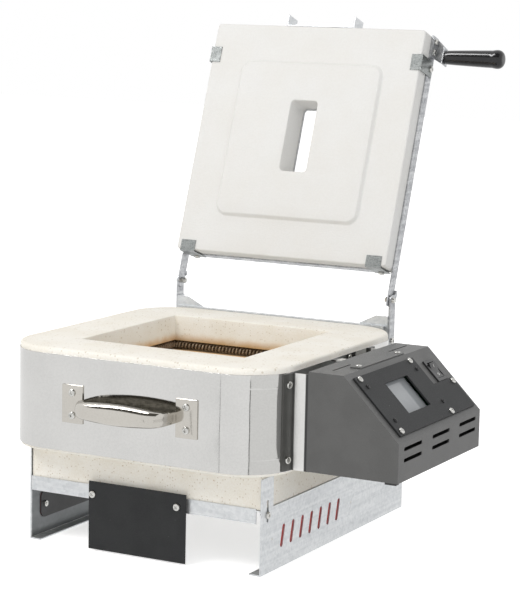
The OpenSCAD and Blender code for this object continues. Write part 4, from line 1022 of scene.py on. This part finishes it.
# on and off marks on the rocker: a bar and a ring
slopeX, slopeTop, slopeEnd, slopeFoot = 226.6, 219.4, 290.5, 155.9
slopeTurn = math.atan2(slopeTop - slopeFoot, slopeEnd - slopeX)
switchMarks = {"down": 29.5, "side": 62.7, "drop": -1.5, "tilt": 8.0}


def onRocker(down, side, up):
    # down the slope, along it and out of it, on the tilted rocker
    tilt = math.radians(switchMarks["tilt"])
    d = down * math.cos(tilt) + up * math.sin(tilt)
    n = -down * math.sin(tilt) + up * math.cos(tilt) + switchMarks["drop"]
    d += switchMarks["down"]
    return at(slopeX + d * math.cos(slopeTurn) + n * math.sin(slopeTurn), switchMarks["side"] + side,
              slopeTop - d * math.sin(slopeTurn) + n * math.cos(slopeTurn))


def rockerTop(down):
    return 3.1 + 1.6 * min(1.0, abs(down) / 9.4) ** 1.6 + 0.12


markPoints, markFaces = [], []
for k in range(24):
    a, b = 2 * math.pi * k / 24, 2 * math.pi * (k + 1) / 24
    base = len(markPoints)
    for angle in (a, b):
        for radius, lift in ((1.1, 0.0), (1.1, 0.12), (1.6, 0.12), (1.6, 0.0)):
            down = 5.2 + radius * math.cos(angle)
            side = radius * math.sin(angle) * 1.1
            markPoints.append(onRocker(down, side, rockerTop(down) - 0.1 + lift))
    for k2 in range(4):
        m = (k2 + 1) % 4
        markFaces.append((base + k2, base + m, base + 4 + m, base + 4 + k2))
addBlock(markPoints, markFaces, [onRocker(down, side, rockerTop(down) - 0.1 + lift)
                                 for down in (-7.0, -3.6) for side in (-0.35, 0.35)
                                 for lift in (0.0, 0.12)])
marks = meshPiece("rockerMarks", markPoints, markFaces, looks["markWhite"])
hand(marks, "rocker", "switch_plastic")
print("stage: switch marks")


# floor, light and camera
def stagePlane(name, centre, sizeX, sizeY, turn, material):
    matrix = Matrix.Translation(centre) @ turn.to_4x4()
    corners = [matrix @ Vector((sx * sizeX / 2, sy * sizeY / 2, 0))
               for sx, sy in ((-1, -1), (1, -1), (1, 1), (-1, 1))]
    plane = link(name, rawMesh(name, corners, faces=[(0, 1, 2, 3)]), material)
    return plane


def makeFloor():
    # pale floor that keeps the object's soft shadow and runs into the white background
    material, tree, shader, place = newMaterial("floorPaper", Roughness=0.9, Specular_IOR_Level=0.1)
    grain = grainOf(tree, place, (0.97, 0.97, 0.97), (0.955, 0.955, 0.955), 2.0, 200.0)
    feed(tree, shader.inputs["Base Color"], grain["Colour"])
    path = addNode(tree, "ShaderNodeLightPath").outputs
    lift = addNode(tree, "ShaderNodeEmission", {"Strength": times(tree, path["Is Camera Ray"], 0.62)})
    lit = addNode(tree, "ShaderNodeAddShader", {0: shader.outputs[0], 1: lift.outputs[0]})
    plain = addNode(tree, "ShaderNodeEmission", {"Strength": 1.0})
    inputs = {0: path["Is Glossy Ray"], 1: lit.outputs[0], 2: plain.outputs[0]}
    blend = addNode(tree, "ShaderNodeMixShader", inputs)
    feed(tree, tree.nodes["Material Output"].inputs[0], blend.outputs[0])
    return material


stagePlane("floor", Vector((0, 0, -0.0005)), 14, 14, Matrix.Identity(3), makeFloor())


def makeCard(name, tone, strength=1.0):
    material = bpy.data.materials.new(name)
    material.use_nodes = True
    tree = material.node_tree
    glow = addNode(tree, "ShaderNodeEmission", {"Color": opaque(tone), "Strength": strength})
    feed(tree, tree.nodes["Material Output"].inputs[0], glow.outputs[0])
    return material


def hideCard(card):
    for kind in ("camera", "diffuse", "shadow", "transmission"):
        setattr(card, "visible_" + kind, False)


def reflectionCard(name, azimuth, elevation, distance, sizeX, sizeY, tone, strength=1.0):
    # a studio flag that only bright metal sees
    a, e = math.radians(azimuth), math.radians(elevation)
    toward = Vector((math.sin(a) * math.cos(e), -math.cos(a) * math.cos(e), math.sin(e)))
    turn = toward.to_track_quat("Z", "Y").to_matrix()
    hideCard(stagePlane(name, Vector((0, 0, 0.2)) + toward * distance, sizeX, sizeY, turn,
                        makeCard(name, tone, strength)))


def standingCard(name, start, end, distance, high, tone):
    # an upright flag on an arc round the jacket's front right corner, from one azimuth to another
    centre = at(108, -108, 0)
    points, faces = [], []
    steps = max(1, int(abs(end - start) / 4))
    for k in range(steps + 1):
        a = math.radians(start + (end - start) * k / steps)
        foot = centre + Vector((math.sin(a), -math.cos(a), 0)) * distance
        points += [tuple(foot), (foot.x, foot.y, high)]
    for k in range(steps):
        faces.append((2 * k, 2 * k + 2, 2 * k + 3, 2 * k + 1))
    card = link(name, rawMesh(name, points, faces=faces), makeCard(name, tone))
    hideCard(card)


standingCard("lineLeft", -24.2, -23.2, 0.42, 0.14, (0.20, 0.20, 0.195))
standingCard("lineRight", 34.9, 36.6, 0.42, 0.14, (0.16, 0.16, 0.155))
standingCard("shadeRight", 36.6, 104, 0.45, 0.15, (0.87, 0.87, 0.865))
reflectionCard("flagAbove", 10, 62, 2.2, 4.2, 2.0, (0.10, 0.095, 0.085))
reflectionCard("softBox", -59, 57, 1.9, 0.42, 0.9, (1, 1, 1), 16)

world = bpy.data.worlds.new("studio")
bpy.context.scene.world = world
world.use_nodes = True
tree = world.node_tree
background = tree.nodes["Background"]
path = addNode(tree, "ShaderNodeLightPath").outputs
bounced = mathNode(tree, "MAXIMUM", path["Is Glossy Ray"], path["Is Transmission Ray"])
seen = mathNode(tree, "MAXIMUM", path["Is Camera Ray"], bounced)
background.inputs["Color"].default_value = (1, 1, 1, 1)
feed(tree, background.inputs["Strength"], ramp(tree, seen, 0.0, 1.0, 0.62, 1.0, smooth=False))


def areaLamp(name, place, target, size, power, tone=(1, 1, 1)):
    lamp = bpy.data.lights.new(name, "AREA")
    lamp.size = size
    lamp.energy = power
    lamp.color = tone
    light = bpy.data.objects.new(name, lamp)
    bpy.context.scene.collection.objects.link(light)
    light.location = place
    light.rotation_euler = (Vector(target) - Vector(place)).to_track_quat("-Z", "Y").to_euler()
    light.visible_glossy = False


areaLamp("keyLamp", (-0.9, -1.7, 2.3), (0, 0, 0.25), 1.4, 34, (1.0, 0.985, 0.96))
areaLamp("fillLamp", (2.0, -1.2, 1.1), (0, 0, 0.2), 1.2, 9, (0.97, 0.985, 1.0))

# solved from the photo's edges: the place in kiln millimetres, angles in degrees, the focal length,
# centre and size in the photo's pixels
camera = {"place": (1147.2, -2037.03, 614.75), "yaw": 28.0, "pitch": -8.41, "roll": 1.18,
          "focal": 2129.16, "wide": 520, "centre": (259.74, 294.64), "high": 589, "sensor": 36}
yaw, pitch, roll = (math.radians(camera[k]) for k in ("yaw", "pitch", "roll"))
forward = Vector((-math.sin(yaw) * math.cos(pitch), math.cos(yaw) * math.cos(pitch), math.sin(pitch)))
flatRight = Vector((math.cos(yaw), math.sin(yaw), 0))
flatUp = flatRight.cross(forward)
right = flatRight * math.cos(roll) + flatUp * math.sin(roll)
up = -flatRight * math.sin(roll) + flatUp * math.cos(roll)
lens = bpy.data.cameras.new("camera")
lens.sensor_fit = "HORIZONTAL"
lens.sensor_width = camera["sensor"]
lens.lens = camera["focal"] * camera["sensor"] / camera["wide"]
lens.shift_x = (camera["wide"] / 2 - camera["centre"][0]) / camera["wide"]
lens.shift_y = (camera["centre"][1] - camera["high"] / 2) / camera["wide"]
lens.clip_start = 0.05
lens.clip_end = 50
eye = bpy.data.objects.new("camera", lens)
bpy.context.scene.collection.objects.link(eye)
turn = Matrix((right, up, -forward)).transposed().to_4x4()
eye.matrix_world = Matrix.Translation(at(*camera["place"])) @ turn
bpy.context.scene.camera = eye
bpy.context.scene.view_settings.view_transform = "Standard"
print("stage: studio")
